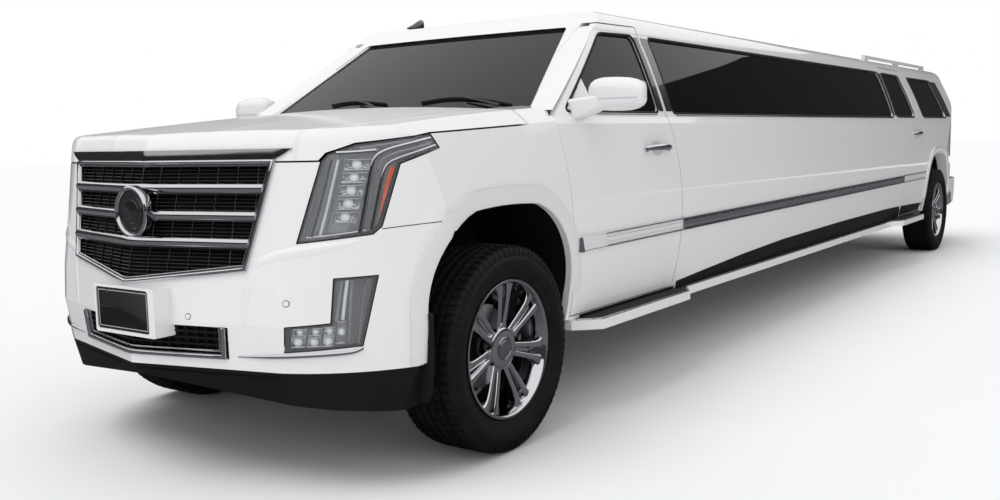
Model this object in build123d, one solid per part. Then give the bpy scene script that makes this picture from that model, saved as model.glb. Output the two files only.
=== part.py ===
"""Stretch limousine on a large utility-vehicle body, as an assembly of separate named pieces.

Millimetres. The car stands on z = 0 with its front towards -Y and its left side towards +X.
The origin is under the middle of the car. Each piece is written to parts/NODE.step.

Places along the car are given as distances behind the front axle or behind the rear axle, so the
passenger cell grows with the wheelbase while the nose and the tail stay as they are.
"""

from build123d import *
from functools import lru_cache
import math
import os

# ---------------------------------------------------------------- driving dimensions
WHEELBASE = 7520.0
FRONT_OVERHANG = 1015.0
REAR_OVERHANG = 1218.0
LENGTH = FRONT_OVERHANG + WHEELBASE + REAR_OVERHANG
FRONT_AXLE_Y = FRONT_OVERHANG - LENGTH / 2
REAR_AXLE_Y = FRONT_AXLE_Y + WHEELBASE
FAR = 1400.0  # past the car's side, for cuts that run right out

# wheels
TYRE_R = 405.0
TYRE_W = 275.0
RIM_FLANGE_R = 272.0
RIM_BEAD_R = 262.0
TRACK_HALF = 872.0
HUB_R = 75.0
STUD_CIRCLE_R = 69.85
STUDS = 6
SPOKE_PAIRS = 7
TYRE_SEAT = 0.4  # running clearance between tyre bead and rim

# steering
KINGPIN_X = 800.0
UPRIGHT_DOWN = 140.0
UPRIGHT_UP = 180.0
WHEEL_HOUSE_X = 510.0
REAR_HOUSE_X = 640.0

# body section: half widths and heights, from the sill up to the roof
SILL_X, SILL_Z = 950.0, 430.0
SIDE_X, SIDE_Z = 998.0, 880.0
SHOULDER_X, SHOULDER_Z = 957.0, 1270.0
BELT_X, BELT_Z = 942.0, 1302.0
PANE_MID_X, PANE_MID_Z = 876.0, 1500.0
CANT_X, CANT_Z = 790.0, 1708.0
DRIP_MID_X, DRIP_MID_Z = 764.0, 1768.0
ROOF_EDGE_X, ROOF_EDGE_Z = 700.0, 1812.0
ROOF_Z = 1885.0
UNDERSIDE_Z = 380.0
UNDERSIDE_X = 880.0

# wall thicknesses and clearances
SEAT = 0.3  # gap left between curved faces that seat on each other
LOWER_WALL = 100.0
UPPER_WALL = 48.0
SKIN = 30.0
PANE = 6.0
SHUT_GAP = 6.0
SHUT_GAP_REAR = 9.0
FRAME_GAP_REAR = 15.0
RABBET_DEPTH = 37.0
RABBET_LAP = 10.0
DOOR_BOX_TOP = 1262.0
DOOR_BOX_INSET = 36.0
DOOR_BOX_FRONT_INSET = 46.0
RABBET_FRONT_LAP = 32.0
HINGE_X0, HINGE_X1 = 905.0, 940.0
HINGE_HEIGHTS = (640.0, 1090.0)

# windscreen: a cylinder patch leaning back, its middle forward of its corners
SCREEN_BASE_Y = 465.0
SCREEN_BASE_Z = 1354.0
SCREEN_BOW = 45.0
SCREEN_SLOPE = 1.54


def fa(distance):
    """y of a place that many millimetres behind the front axle."""
    return FRONT_AXLE_Y + distance


def ra(distance):
    """y of a place that many millimetres behind the rear axle."""
    return REAR_AXLE_Y + distance


# ---------------------------------------------------------------- outline helpers
def outline(start, *steps):
    """Closed face from a start point and steps: (end,) is a line and (via, end) is an arc."""
    edges, here = [], start
    for step in steps:
        edges.append(Line(here, step[0]) if len(step) == 1 else ThreePointArc(here, step[0], step[1]))
        here = step[-1]
    if (Vector(*here) - Vector(*start)).length > 1e-6:
        edges.append(Line(here, start))
    return make_face(edges)


def symmetric(start, steps, crown):
    """Outline symmetric about the middle plane. The steps climb the +X side and crown is the
    middle of the arc that joins the two tops."""
    def flip(point):
        return (-point[0], point[1])
    tops = [start] + [step[-1] for step in steps]
    back = []
    for index in range(len(steps) - 1, -1, -1):
        via = [flip(point) for point in steps[index][:-1]]
        back.append((*via, flip(tops[index])))
    return outline(start, *steps, (crown, flip(tops[-1])), *back)


def polygon(points):
    """Closed face with straight edges."""
    return make_face(Polyline(*points, close=True))


def rounded(points, radii):
    """Closed polygon whose corners are arcs of the given radii."""
    return make_face(FilletPolyline(*points, radius=radii, close=True))


def along_x(face, x0, x1):
    """Solid of a (y, z) face between two x planes."""
    return extrude(Plane.YZ.offset(x0) * face, amount=x1 - x0, dir=(1, 0, 0))


def along_y(face, y0, y1):
    """Solid of an (x, z) face between two y planes."""
    return extrude(Plane.XZ.offset(-y0) * face, amount=y1 - y0, dir=(0, 1, 0))


def along_z(face, z0, z1):
    """Solid of an (x, y) face between two z planes."""
    return extrude(Plane.XY.offset(z0) * face, amount=z1 - z0, dir=(0, 0, 1))


def block(x0, x1, y0, y1, z0, z1):
    """Rectangular block between its lowest and highest corners."""
    return Pos((x0 + x1) / 2, (y0 + y1) / 2, (z0 + z1) / 2) * Box(x1 - x0, y1 - y0, z1 - z0)


def rod(start, end, radius):
    """Round bar from one point to another."""
    a, b = Vector(*start), Vector(*end)
    plane = Plane(origin=a, z_dir=(b - a).normalized())
    return extrude(plane * Circle(radius), amount=(b - a).length)


def other_side(shape):
    """The same piece on the -X side."""
    return mirror(shape, about=Plane.YZ)


# ---------------------------------------------------------------- the body's outer form
def cell_section(lower, upper):
    """Cross-section of the passenger cell, set in by a lower and an upper wall thickness."""
    start = (UNDERSIDE_X - lower, UNDERSIDE_Z + lower)
    drip = (DRIP_MID_X - upper * 0.8, DRIP_MID_Z - upper * 0.6)
    steps = [
        ((SILL_X - lower, SILL_Z + lower * 0.8),),
        ((SIDE_X - lower, SIDE_Z), (SHOULDER_X - lower, SHOULDER_Z - lower * 0.3)),
        ((BELT_X - upper, BELT_Z),),
        ((PANE_MID_X - upper, PANE_MID_Z), (CANT_X - upper, CANT_Z - upper * 0.3)),
        (drip, (ROOF_EDGE_X - upper * 0.3, ROOF_EDGE_Z - upper)),
    ]
    return symmetric(start, steps, (0, ROOF_Z - upper))


def cell_profile(inset):
    """Side view of the passenger cell: header, roof, tailgate and bumper line."""
    start = (fa(150), UNDERSIDE_Z - 60)
    return outline(
        start,
        (((fa(150)), 1790 - inset),),
        ((fa(1000), 1790 - inset),),
        ((fa(1600), 1866 - inset), (fa(2400), ROOF_Z + 1 - inset)),
        ((ra(-400), ROOF_Z + 1 - inset),),
        ((ra(400), 1862 - inset), (ra(930) - inset * 0.4, 1800 - inset)),
        ((ra(960) - inset * 0.6, 1770 - inset),),
        ((ra(1110) - inset, 1262),),
        ((ra(1155) - inset, 1000), (ra(1147) - inset, 700)),
        ((ra(1147) - inset, UNDERSIDE_Z - 60),),
    )


def cell_plan(inset):
    """Plan of the passenger cell: parallel sides that draw in round the rear wheels."""
    side, corner, tail = 1006 - inset, 905 - inset, 700 - inset
    right = [
        ((side, ra(-100)),),
        ((side - 28, ra(520)), (corner, ra(980) - inset * 0.6)),
        ((corner - 75, ra(1100) - inset * 0.8), (tail, ra(1140) - inset)),
    ]
    return symmetric((side, fa(150)), right, (0, ra(1160) - inset))


def screen_front(offset):
    """Everything ahead of the windscreen's outer face, moved back by offset along the car."""
    low, high = BELT_Z - 60, 2000.0
    base = SCREEN_BASE_Y + offset + (low - SCREEN_BASE_Z) * SCREEN_SLOPE
    face = outline(
        (-1100, fa(-900)),
        ((1100, fa(-900)),),
        ((1100, fa(base + SCREEN_BOW)),),
        ((0, fa(base - SCREEN_BOW)), (-1100, fa(base + SCREEN_BOW))),
    )
    way = Vector(0, SCREEN_SLOPE, 1).normalized()
    return extrude(Plane.XY.offset(low) * face, amount=(high - low) / way.Z, dir=way)


def tube(lower, upper):
    """The cell's section run the whole length, without its windscreen, roof or tail cuts."""
    return along_y(cell_section(lower, upper), fa(160), ra(REAR_OVERHANG))


@lru_cache(maxsize=None)
def cell(lower, upper):
    """The passenger cell as one solid, set in by a lower and an upper wall thickness."""
    solid = along_y(cell_section(lower, upper), fa(160), ra(REAR_OVERHANG))
    solid &= along_x(cell_profile(upper), -FAR, FAR)
    solid &= along_z(cell_plan(upper), 200, 2000)
    return solid - screen_front(upper * 1.6)


# nose: y, sill x/z, side x/z, shoulder x/z, brow x/z, crown z
NOSE_SECTIONS = [
    (-1060, 950, 430, 996, 860, 948, 1188, 880, 1212, 1226),
    (-300, 950, 430, 1000, 870, 955, 1241, 890, 1290, 1318),
    (590, 950, 430, 998, 880, 957, 1290, 872, 1348, 1385),
]
# nose plan by height: z, tip y, shoulder x, shoulder y, corner x/y, side y
NOSE_PLANS = [
    (180, -905, 600, -770, 850, -610, -230),
    (440, -984, 610, -830, 868, -640, -240),
    (600, -992, 620, -848, 872, -655, -240),
    (735, -988, 620, -838, 872, -650, -240),
    (1215, -868, 620, -758, 868, -600, -230),
    (1450, -800, 620, -690, 868, -540, -200),
]
NOSE_SIDE_X = 1012.0


def nose_section(row, inset):
    """One cross-section of the nose, from the sill over the fender to the crown of the hood."""
    y, sill_x, sill_z, side_x, side_z, shoulder_x, shoulder_z, brow_x, brow_z, crown_z = row
    face = symmetric(
        (UNDERSIDE_X - inset, 150),
        [
            ((sill_x - inset, sill_z),),
            ((side_x - inset, side_z), (shoulder_x - inset, shoulder_z - inset * 0.3)),
            ((brow_x - inset * 0.6, brow_z - inset),),
        ],
        (0, crown_z - inset),
    )
    return Plane.XZ.offset(-fa(y)) * face


def nose_plan(row, inset):
    """One plan of the nose at a height: the blunt V of the grille and the round corners."""
    z, tip_y, shoulder_x, shoulder_y, corner_x, corner_y, side_y = row
    shoulder = (shoulder_x - inset * 0.2, fa(shoulder_y) + inset)
    right = [
        ((NOSE_SIDE_X - inset, fa(side_y)),),
        ((corner_x - inset * 0.7, fa(corner_y) + inset * 0.7), shoulder),
    ]
    face = outline(
        (NOSE_SIDE_X - inset, fa(700)),
        *right,
        ((0, fa(tip_y) + inset),),
        ((-right[-1][-1][0], right[-1][-1][1]),),
        ((-right[1][0][0], right[1][0][1]), (-right[0][0][0], right[0][0][1])),
        ((-NOSE_SIDE_X + inset, fa(700)),),
    )
    return Plane.XY.offset(z) * face


@lru_cache(maxsize=None)
def nose(inset):
    """Hood, fenders and front fascia as one solid, set in by a wall thickness."""
    body = loft([nose_section(row, inset) for row in NOSE_SECTIONS])
    front = loft([nose_plan(row, inset) for row in NOSE_PLANS], ruled=True)
    return body & front


# ---------------------------------------------------------------- openings shared by panels
REAR_BUMPER_TOP = 690.0
BUMPER_SPLIT = 300.0
TAILGATE_FRONT = 938.0
FLOOR_Z = 545.0
ARCH_HALF = 468.0
ARCH_TOP = 962.0
ARCH_CORNER = 300.0
LINER_IN, LINER_OUT = 6.0, 12.0


def arch_face(axle_y, grow):
    """Wheel arch in side view: upright legs and a flat crown joined by large arcs."""
    half, top, foot = ARCH_HALF + grow, ARCH_TOP + grow, 100.0
    lean = 55.0
    return outline(
        (axle_y - half, foot),
        ((axle_y - half, 560.0),),
        ((axle_y - half + lean * 1.7, top - lean * 1.9), (axle_y - half + ARCH_CORNER - 40, top - 6),),
        ((axle_y, top + 4), (axle_y + half - ARCH_CORNER + 40, top - 6)),
        ((axle_y + half - lean * 1.7, top - lean * 1.9), (axle_y + half, 560.0)),
        ((axle_y + half, foot),),
    )


def front_door_face(front=0.0, rear=0.0, low=0.0, frame=0.0):
    """Front door in side view, each edge moved out by its own amount."""
    return outline(
        (fa(505) - front, 452 - low),
        ((fa(482) - front, 800), (fa(415) - front, 1285)),
        ((fa(450) - front, 1322 + front),),
        ((fa(1062) - front, 1742 + front),),
        ((fa(1448) + frame, 1750 + front),),
        ((fa(1462) + frame, 1318),),
        ((fa(1475) + rear, 1285),),
        ((fa(1535) + rear, 800), (fa(1492) + rear, 452 - low)),
    )


def rear_door_face(front=0.0, rear=0.0, low=0.0, frame=0.0):
    """Rear door in side view, its lower rear corner kept ahead of the wheel arch."""
    return outline(
        (ra(-1425) - front, 452 - low),
        ((ra(-1405) - front, 800), (ra(-1490) - front, 1285)),
        ((ra(-1510) - front, 1330),),
        ((ra(-1522) - front, 1750 + front),),
        ((ra(-852) + frame, 1742 + front),),
        ((ra(-742) + frame, 1318),),
        ((ra(-560) + rear, 1285),),
        ((ra(-548) + rear, 900),),
        ((ra(-590) + rear, 640), (ra(-640) + rear, 452 - low)),
    )


FRONT_WINDOW = [(fa(520), 1326), (fa(1052), 1692), (fa(1392), 1702), (fa(1402), 1326)]
REAR_WINDOW = [(ra(-1465), 1326), (ra(-1472), 1700), (ra(-898), 1694), (ra(-800), 1326)]
STRETCH_WINDOW = [(fa(1560), 1322), (fa(1560), 1702), (ra(-1585), 1702), (ra(-1575), 1322)]
QUARTER_WINDOW = [(ra(-470), 1326), (ra(-585), 1690), (ra(360), 1690), (ra(560), 1326)]
GLASS_SET_IN = 9.0
GLASS_LAP = 14.0


def grow_points(points, amount):
    """A four-cornered window moved out by amount on every side."""
    (y0, z0), (y1, z1), (y2, z2), (y3, z3) = points
    front = [(y0 - amount, z0 - amount), (y1 - amount, z1 + amount)]
    return front + [(y2 + amount, z2 + amount), (y3 + amount, z3 - amount)]


def pane(points, radius):
    """Side glass a little larger than its hole, set into the wall."""
    face = rounded(grow_points(points, GLASS_LAP), [radius] * 4)
    outer_face = GLASS_SET_IN + SEAT
    slab = cell(outer_face, outer_face) - cell(outer_face + PANE, outer_face + PANE)
    return slab & along_x(face, SIDE_PLANE, FAR)


def hole(points, radius):
    """Through hole for a window, with a rebate that the pane sits in from inside."""
    face = rounded(points, [radius] * 4)
    return along_x(face, 400, FAR)


def rebate(points, radius):
    """Space inboard of the pane's outer face, wide enough for the pane's edge."""
    face = rounded(grow_points(points, GLASS_LAP + 1.0), [radius] * 4)
    return along_x(face, 400, FAR) & CELL_GLASS


def group(*shapes):
    """One node of several separate solids."""
    return Compound([solid for shape in shapes for solid in shape.solids()])


# ---------------------------------------------------------------- shared solids
CELL = cell(0, 0)
CELL_GLASS = cell(GLASS_SET_IN, GLASS_SET_IN)
CELL_RABBET = cell(RABBET_DEPTH, RABBET_DEPTH)
CELL_INNER = cell(LOWER_WALL, UPPER_WALL)
NOSE = nose(0)
NOSE_INNER = nose(SKIN)
DOORS = [
    ("front_door", front_door_face, FRONT_WINDOW),
    ("rear_door", rear_door_face, REAR_WINDOW),
]
SIDE_PLANE = ROOF_EDGE_X
DOOR_PANE_R = 34.0


def door_box_face(face, ahead=0.0):
    """Side view of a door's inner box, its front edge moved forward by ahead."""
    return face(ahead - DOOR_BOX_FRONT_INSET, -DOOR_BOX_INSET, -DOOR_BOX_INSET, -DOOR_BOX_INSET)


def door(face, points, radius):
    """Door of a full-outline skin, an inset box below the belt and a window frame."""
    skin = (CELL - tube(SKIN, SKIN)) & along_x(face(), SIDE_PLANE, FAR)
    inner = (tube(SKIN, SKIN) - tube(LOWER_WALL, UPPER_WALL)) & along_x(door_box_face(face), SIDE_PLANE, FAR)
    inner &= block(0, FAR, -LENGTH, LENGTH, 0, DOOR_BOX_TOP)
    shape = skin + inner
    shape -= hole(points, radius)
    return shape - rebate(points, radius)


def door_opening(face):
    """Hole for a door: clearance round its skin and a rabbet that its edge laps over."""
    outer_cut = along_x(face(SHUT_GAP, SHUT_GAP_REAR, SHUT_GAP, FRAME_GAP_REAR), 600, FAR) - CELL_RABBET
    lap = RABBET_LAP
    inner_cut = along_x(face(-RABBET_FRONT_LAP, -lap, -lap, 2.0), 400, FAR)
    return outer_cut + inner_cut


SCREEN_HOLE = [(-835, 1272), (-640, 1732), (640, 1732), (835, 1272)]
SCREEN_SET_IN = 24.0
SCREEN_LAP = 12.0


def screen_cut():
    """Windscreen aperture and the rebate behind the glass."""
    hole_prism = along_y(rounded(SCREEN_HOLE, [30] * 4), fa(0), fa(1350))
    wide = along_y(offset(rounded(SCREEN_HOLE, [30] * 4), SCREEN_LAP + 1), fa(0), fa(1350))
    return hole_prism + (wide - screen_front(SCREEN_SET_IN))


def largest(shape):
    """The biggest solid, without the slivers that a cut can leave."""
    return max(shape.solids(), key=lambda solid: solid.volume)


def body_side():
    """Left side wall: sill, pillars, cantrail, stretch panel and quarter panel."""
    wall = CELL - CELL_INNER
    high = block(SIDE_PLANE, FAR, fa(330), ra(1200), FLOOR_Z, 1900)
    sill = block(UNDERSIDE_X - 30, FAR, fa(330), ra(1200), 300, FLOOR_Z)
    wall &= high + sill
    ahead = along_x(front_door_face(SHUT_GAP, 0, 100, 0), 0, FAR) + block(0, FAR, fa(506), ra(1200), 0, 2000)
    ahead += block(0, FAR, fa(0), ra(1200), BELT_Z, 2000)
    wall -= (block(0, FAR, fa(0), fa(700), 0, 2000) - ahead) - CELL_RABBET
    for _, face, _ in DOORS:
        wall -= door_opening(face)
    for points in (STRETCH_WINDOW, QUARTER_WINDOW):
        wall -= hole(points, 40.0)
        wall -= rebate(points, 40.0)
    wall -= screen_cut()
    wall -= along_x(arch_face(FRONT_AXLE_Y, 34), 400, FAR)
    wall -= along_x(arch_face(REAR_AXLE_Y, 0), 400, FAR)
    wall -= block(0, FAR, ra(BUMPER_SPLIT), ra(1200), 0, REAR_BUMPER_TOP)
    wall -= tail_lamp_zone()
    wall -= tailgate_region(SHUT_GAP)
    for _, face, _ in DOORS:
        wall += hinge_leaves(face)
    return largest(wall)


def hinge_leaves(face):
    """Leaves that stand on the pillar and meet the front of a door's inner box."""
    reach = along_x(face(1 - RABBET_FRONT_LAP), HINGE_X0, HINGE_X1)
    reach -= along_x(door_box_face(face, SEAT), HINGE_X0, HINGE_X1)
    front = min(vertex.X for vertex in face().vertices())
    leaves = [block(0, FAR, front - 10, front + 190, z, z + 70) for z in HINGE_HEIGHTS]
    return reach & (leaves[0] + leaves[1])


def roof_panel():
    """Roof skin between the drip lines, with the windscreen header."""
    shell = CELL - CELL_INNER
    shell &= block(-SIDE_PLANE, SIDE_PLANE, fa(300), ra(TAILGATE_FRONT - SHUT_GAP), 1600, 1900)
    leaf = cell(8, 8) - CELL_INNER
    leaf &= block(320, 400, ra(TAILGATE_FRONT - 20), ra(TAILGATE_FRONT - SEAT), 1600, 1900)
    return largest(shell - screen_cut() + leaf + other_side(leaf))


def windscreen():
    """Windscreen glass, a little larger than its hole."""
    slab = screen_front(SCREEN_SET_IN + PANE) - screen_front(SCREEN_SET_IN)
    return slab & along_y(offset(rounded(SCREEN_HOLE, [30] * 4), SCREEN_LAP), fa(0), fa(1350))


# ---------------------------------------------------------------- nose panels
HOOD_LINE = [(-1100, 1156), (-722, 1156), (-707, 1181), (-646, 1212), (-400, 1243), (196, 1271)]
COWL_FRONT = 206.0
COWL_HALF = 760.0
FASCIA_TOP = 1150.0
BROW_Z = 1255.0
BROW_R = 40.0
FENDER_FOOT = 930.0
BUMPER_FOOT = 437.0
VALANCE_FOOT = 285.0
LAMP_POINTS = [
    (12, 1155), (-80, 881), (173, 906), (204, 930), (274, 1139),
    (417, 1189), (385, 1236), (127, 1207), (34, 1177),
]
FOG_POINTS = [(37, 760), (185, 765), (125, 530), (-136, 512), (-132, 598), (22, 610)]
GRILLE_POINTS = [(-575, 1160), (575, 1160), (498, 786), (0, 728), (-498, 786)]
GRILLE_DEPTH = 42.0
GRILLE_BARS = [1062.0, 968.0, 876.0]
INTAKE_POINTS = [(-425, 588), (425, 588), (415, 474), (-415, 474)]
PLATE_X0, PLATE_X1 = -158.0, 192.0
PLATE_Z0, PLATE_Z1 = 546.0, 722.0
PLATE_MIDDLE = (5.0, 635.2)
PLATE_SIZE = (306.8, 154.4)
PLATE_CORNER = 12.0
PLATE_DEPTH = 4.0
PLATE_HOLE_Z = 698.0
PLATE_HOLE_PITCH = 177.8
PLATE_HOLE_R = 3.0
PLATE_HOLE_DEPTH = 20.0
PLATE_SUNK = 12.0  # how far the pad runs into the fascia's skin
LAMP_GAP = 3.0
LAMP_DEPTH = 80.0
LAMP_FLANGE = 10.0


def corner_prism(points, grow):
    """Prism of an outline drawn on a plane that faces diagonally forward at the left corner."""
    root_half = math.sqrt(0.5)
    across, ahead = (root_half, root_half, 0), (root_half, -root_half, 0)
    plane = Plane(origin=(0, FRONT_AXLE_Y, 0), x_dir=across, z_dir=ahead)
    face = make_face(Polyline(*points, close=True))
    if grow:
        face = offset(face, grow)
    return extrude(plane.offset(300) * face, amount=1400)


def front_face(points, grow):
    """Prism of a front-view outline, right through the fascia."""
    face = make_face(Polyline(*points, close=True))
    if grow:
        face = offset(face, grow)
    return along_y(face, fa(-1100), fa(-560))


def hood_side(drop):
    """Everything above the hood's lower edge in side view."""
    edge = [(fa(y), z - drop) for y, z in HOOD_LINE[:-1]]
    rear_y, rear_z = HOOD_LINE[-1]
    corner = fa(rear_y) + 1.8 * drop
    points = edge + [(corner, rear_z - drop), (corner, 1600), (fa(-1100), 1600)]
    return along_x(polygon(points), -FAR, FAR)


def hood():
    """Clamshell hood: crown, brow and upper fender edge in one panel, its brow rolled over."""
    shell = largest((NOSE - NOSE_INNER) & hood_side(0))
    brow = [edge for edge in shell.edges() if is_brow(edge)]
    return fillet(brow, BROW_R)


def is_brow(edge):
    """Whether an edge of the hood is the outer one between its crown and its front or flank."""
    box = edge.bounding_box()
    long_enough = edge.length > 150
    front = abs(box.min.Z - BROW_Z) < 8 and box.max.Z < BROW_Z + 16 and box.max.Y < fa(-540)
    flank = abs(box.min.Z - BROW_Z - 12) < 6 and box.max.Z > BROW_Z + 60 and box.max.X - box.min.X < 12
    return long_enough and (front or flank)


def fender():
    """Left fender behind the headlamp, round the arch and back to the door."""
    shell = NOSE - NOSE_INNER
    shell &= block(700, FAR, fa(-690), fa(590), 300, 1400)
    shell -= hood_side(SHUT_GAP)
    shell -= block(0, FAR, fa(-1100), fa(-100), 0, FENDER_FOOT)
    shell -= block(0, FAR, fa(-100), fa(600), 0, BUMPER_FOOT)
    shell -= along_x(arch_face(FRONT_AXLE_Y, 0), 400, FAR)
    shell -= corner_prism(LAMP_POINTS, LAMP_GAP)
    shell -= along_x(front_door_face(SHUT_GAP, 400, 100, 400), 400, FAR)
    shell -= block(0, COWL_HALF, fa(100), fa(600), 1200, 1500)
    behind = block(0, FAR, fa(100), fa(700), BELT_Z, 1600) - screen_front(-3)
    return largest(shell - behind)


def bumper():
    """Front fascia from the hood line down, with its openings cut through."""
    shell = NOSE - NOSE_INNER
    shell &= block(-FAR, FAR, fa(-1100), fa(-380), BUMPER_FOOT, FASCIA_TOP)
    shell -= block(-FAR, FAR, fa(-690), fa(-300), FENDER_FOOT, 1300)
    shell -= along_x(arch_face(FRONT_AXLE_Y, 0), -FAR, FAR)
    for points in (LAMP_POINTS, FOG_POINTS):
        cut = corner_prism(points, LAMP_GAP)
        shell -= cut + other_side(cut)
    shell -= front_face(GRILLE_POINTS, 0)
    shell -= front_face(INTAKE_POINTS, 0)
    return shell + plate_bracket()


def plate_bracket():
    """Flat pad for the front plate on the fascia's V, sunk for the plate, with its two screw holes."""
    front = fa(-FRONT_OVERHANG)
    floor = front + PLATE_DEPTH
    outline = RectangleRounded(PLATE_X1 - PLATE_X0, PLATE_Z1 - PLATE_Z0, 8)
    pad = along_y(Pos((PLATE_X0 + PLATE_X1) / 2, (PLATE_Z0 + PLATE_Z1) / 2) * outline, front, fa(-900))
    pad -= nose(PLATE_SUNK)
    plate = Pos(*PLATE_MIDDLE) * RectangleRounded(*PLATE_SIZE, PLATE_CORNER)
    pad -= along_y(plate, front - 1, floor)
    for side in (-1, 1):
        x = PLATE_MIDDLE[0] + side * PLATE_HOLE_PITCH / 2
        pad -= rod((x, front - 1, PLATE_HOLE_Z), (x, floor + PLATE_HOLE_DEPTH, PLATE_HOLE_Z), PLATE_HOLE_R)
    return pad


def valance():
    """Black lower apron under the bumper."""
    shell = NOSE - NOSE_INNER
    shell &= block(-FAR, FAR, fa(-1100), fa(-380), VALANCE_FOOT, BUMPER_FOOT)
    return shell - along_x(arch_face(FRONT_AXLE_Y, 0), -FAR, FAR)


def grille():
    """Chrome frame and three bars, all bent to the nose's blunt V."""
    band = NOSE - nose(GRILLE_DEPTH)
    below = block(-FAR, FAR, fa(-1100), fa(-500), 0, FASCIA_TOP)
    shape = band & ((front_face(GRILLE_POINTS, -SEAT) & below) - front_face(GRILLE_POINTS, -20))
    bars = nose(4) - nose(34)
    inside = front_face(GRILLE_POINTS, -19)
    for z in GRILLE_BARS:
        shape += bars & inside & block(-FAR, FAR, fa(-1100), fa(-500), z - 17, z + 17)
    return shape


def grille_mesh():
    """Black insert behind the bars: upright fins on a backing grid, and the lower intake's."""
    back = nose(GRILLE_DEPTH + SEAT) - nose(GRILLE_DEPTH + 8)
    shape = back & front_face(GRILLE_POINTS, -SEAT) & block(-FAR, FAR, fa(-1100), fa(-500), 0, FASCIA_TOP)
    low = (nose(20) - nose(28)) & front_face(INTAKE_POINTS, -SEAT)
    return group(shape, low)


def lamps(points):
    """Lamp housings at both front corners, filled to the lens."""
    body = (NOSE - nose(LAMP_DEPTH)) & corner_prism(points, 0)
    flange = (nose(SKIN + SEAT) - nose(LAMP_DEPTH)) & corner_prism(points, LAMP_FLANGE)
    shape = largest(body + flange)
    return group(shape, other_side(shape))


def cowl_panel():
    """Black cowl between the hood's rear edge and the windscreen."""
    slab = nose(18) - nose(38)
    return slab & block(-COWL_HALF, COWL_HALF, fa(COWL_FRONT), fa(620), 1200, 1400) & screen_front(-3)


# ---------------------------------------------------------------- tail
TAIL_LAMP_Y = 1010.0
TAIL_LAMP_Z0, TAIL_LAMP_Z1 = 750.0, 1300.0


def tail_lamp_zone():
    """Corner space that the left tail lamp fills."""
    return block(0, FAR, ra(TAIL_LAMP_Y), ra(1300), TAIL_LAMP_Z0, TAIL_LAMP_Z1)


BACK_WINDOW = [(-640, 1296), (-560, 1700), (560, 1700), (640, 1296)]
TAILGATE_POINTS = [(-760, 696), (-760, 1290), (-690, 1850), (690, 1850), (760, 1290), (760, 696)]
TAILGATE_WALL = 40.0


def tailgate_region(grow):
    """Prism of the tailgate's outline in rear view."""
    face = rounded(TAILGATE_POINTS, [40, 60, 60, 60, 60, 40])
    if grow:
        face = offset(face, grow)
    return along_y(face, ra(TAILGATE_FRONT - grow), ra(1300))


def tailgate():
    """One-piece lifting tailgate with its window cut and a rebate for the glass."""
    shell = (CELL - cell(TAILGATE_WALL, TAILGATE_WALL)) & tailgate_region(0)
    shell &= block(-FAR, FAR, ra(TAILGATE_FRONT), ra(1300), 0, 1900)
    opening = rounded(BACK_WINDOW, [40] * 4)
    shell -= along_y(opening, ra(TAILGATE_FRONT + 20), ra(1300))
    inside = along_y(offset(opening, GLASS_LAP + 1), ra(TAILGATE_FRONT + 20), ra(1300))
    return largest(shell - (inside & CELL_GLASS))


def tailgate_glass():
    """Back window."""
    outer_face = GLASS_SET_IN + SEAT
    slab = cell(outer_face, outer_face) - cell(outer_face + PANE, outer_face + PANE)
    opening = offset(rounded(BACK_WINDOW, [40] * 4), GLASS_LAP)
    return slab & along_y(opening, ra(TAILGATE_FRONT + 25), ra(1300))


def tail_lamps():
    """Tall lamps that fill the rear corners beside the tailgate."""
    left = largest((CELL & tail_lamp_zone()) - tailgate_region(SHUT_GAP))
    return group(left, other_side(left))


def bumper_plan(inset):
    """Plan of the rear bumper."""
    return symmetric((996 - inset, ra(200)), [
        ((996 - inset, ra(560)),),
        ((975 - inset, ra(860)), (905 - inset, ra(1040) - inset * 0.5)),
        ((835 - inset * 0.8, ra(1150) - inset), (640 - inset * 0.4, ra(1190) - inset)),
    ], (0, ra(REAR_OVERHANG) - inset))


def rear_bumper():
    """Rear bumper shell with its stepped top."""
    solid = along_z(bumper_plan(0), VALANCE_FOOT + 95, REAR_BUMPER_TOP)
    hollow = along_z(bumper_plan(SKIN), VALANCE_FOOT, REAR_BUMPER_TOP - SKIN)
    solid &= along_y(cell_section(0, 0), ra(200), ra(1300))
    shell = solid - hollow
    shell &= block(-FAR, FAR, ra(BUMPER_SPLIT), ra(1300), 0, 2000)
    cut = along_x(arch_face(REAR_AXLE_Y, 0), -FAR, FAR)
    keep = shell - cut
    half = UNDERSIDE_X + 10
    top = block(-half, half, ra(0), ra(1140), REAR_BUMPER_TOP - SKIN - 1, REAR_BUMPER_TOP + 1)
    return largest(keep - top)


# ---------------------------------------------------------------- wheels
RIM_HALF = 118.0
FLANGE_W = 12.0
HUB_FACE = 33.0
PILOT_R = 39.0
PILOT_GAP = 0.05


def tyre(x, y):
    """Plain tyre with round shoulders, its beads on the rim."""
    half, tread = TYRE_W / 2, 112.0
    bead = RIM_HALF - FLANGE_W - 1
    face = outline(
        (-bead, RIM_BEAD_R),
        ((-bead, RIM_FLANGE_R + 3),),
        ((-half, 335), (-tread - 6, 396)),
        ((-tread, TYRE_R - 2),),
        ((0, TYRE_R), (tread, TYRE_R - 2)),
        ((tread + 6, 396),),
        ((half, 335), (bead, RIM_FLANGE_R + 3)),
        ((bead, RIM_BEAD_R),),
    )
    ring = revolve(Plane.XZ * face, Axis.X)
    return Pos(x, y, TYRE_R) * ring


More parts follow.
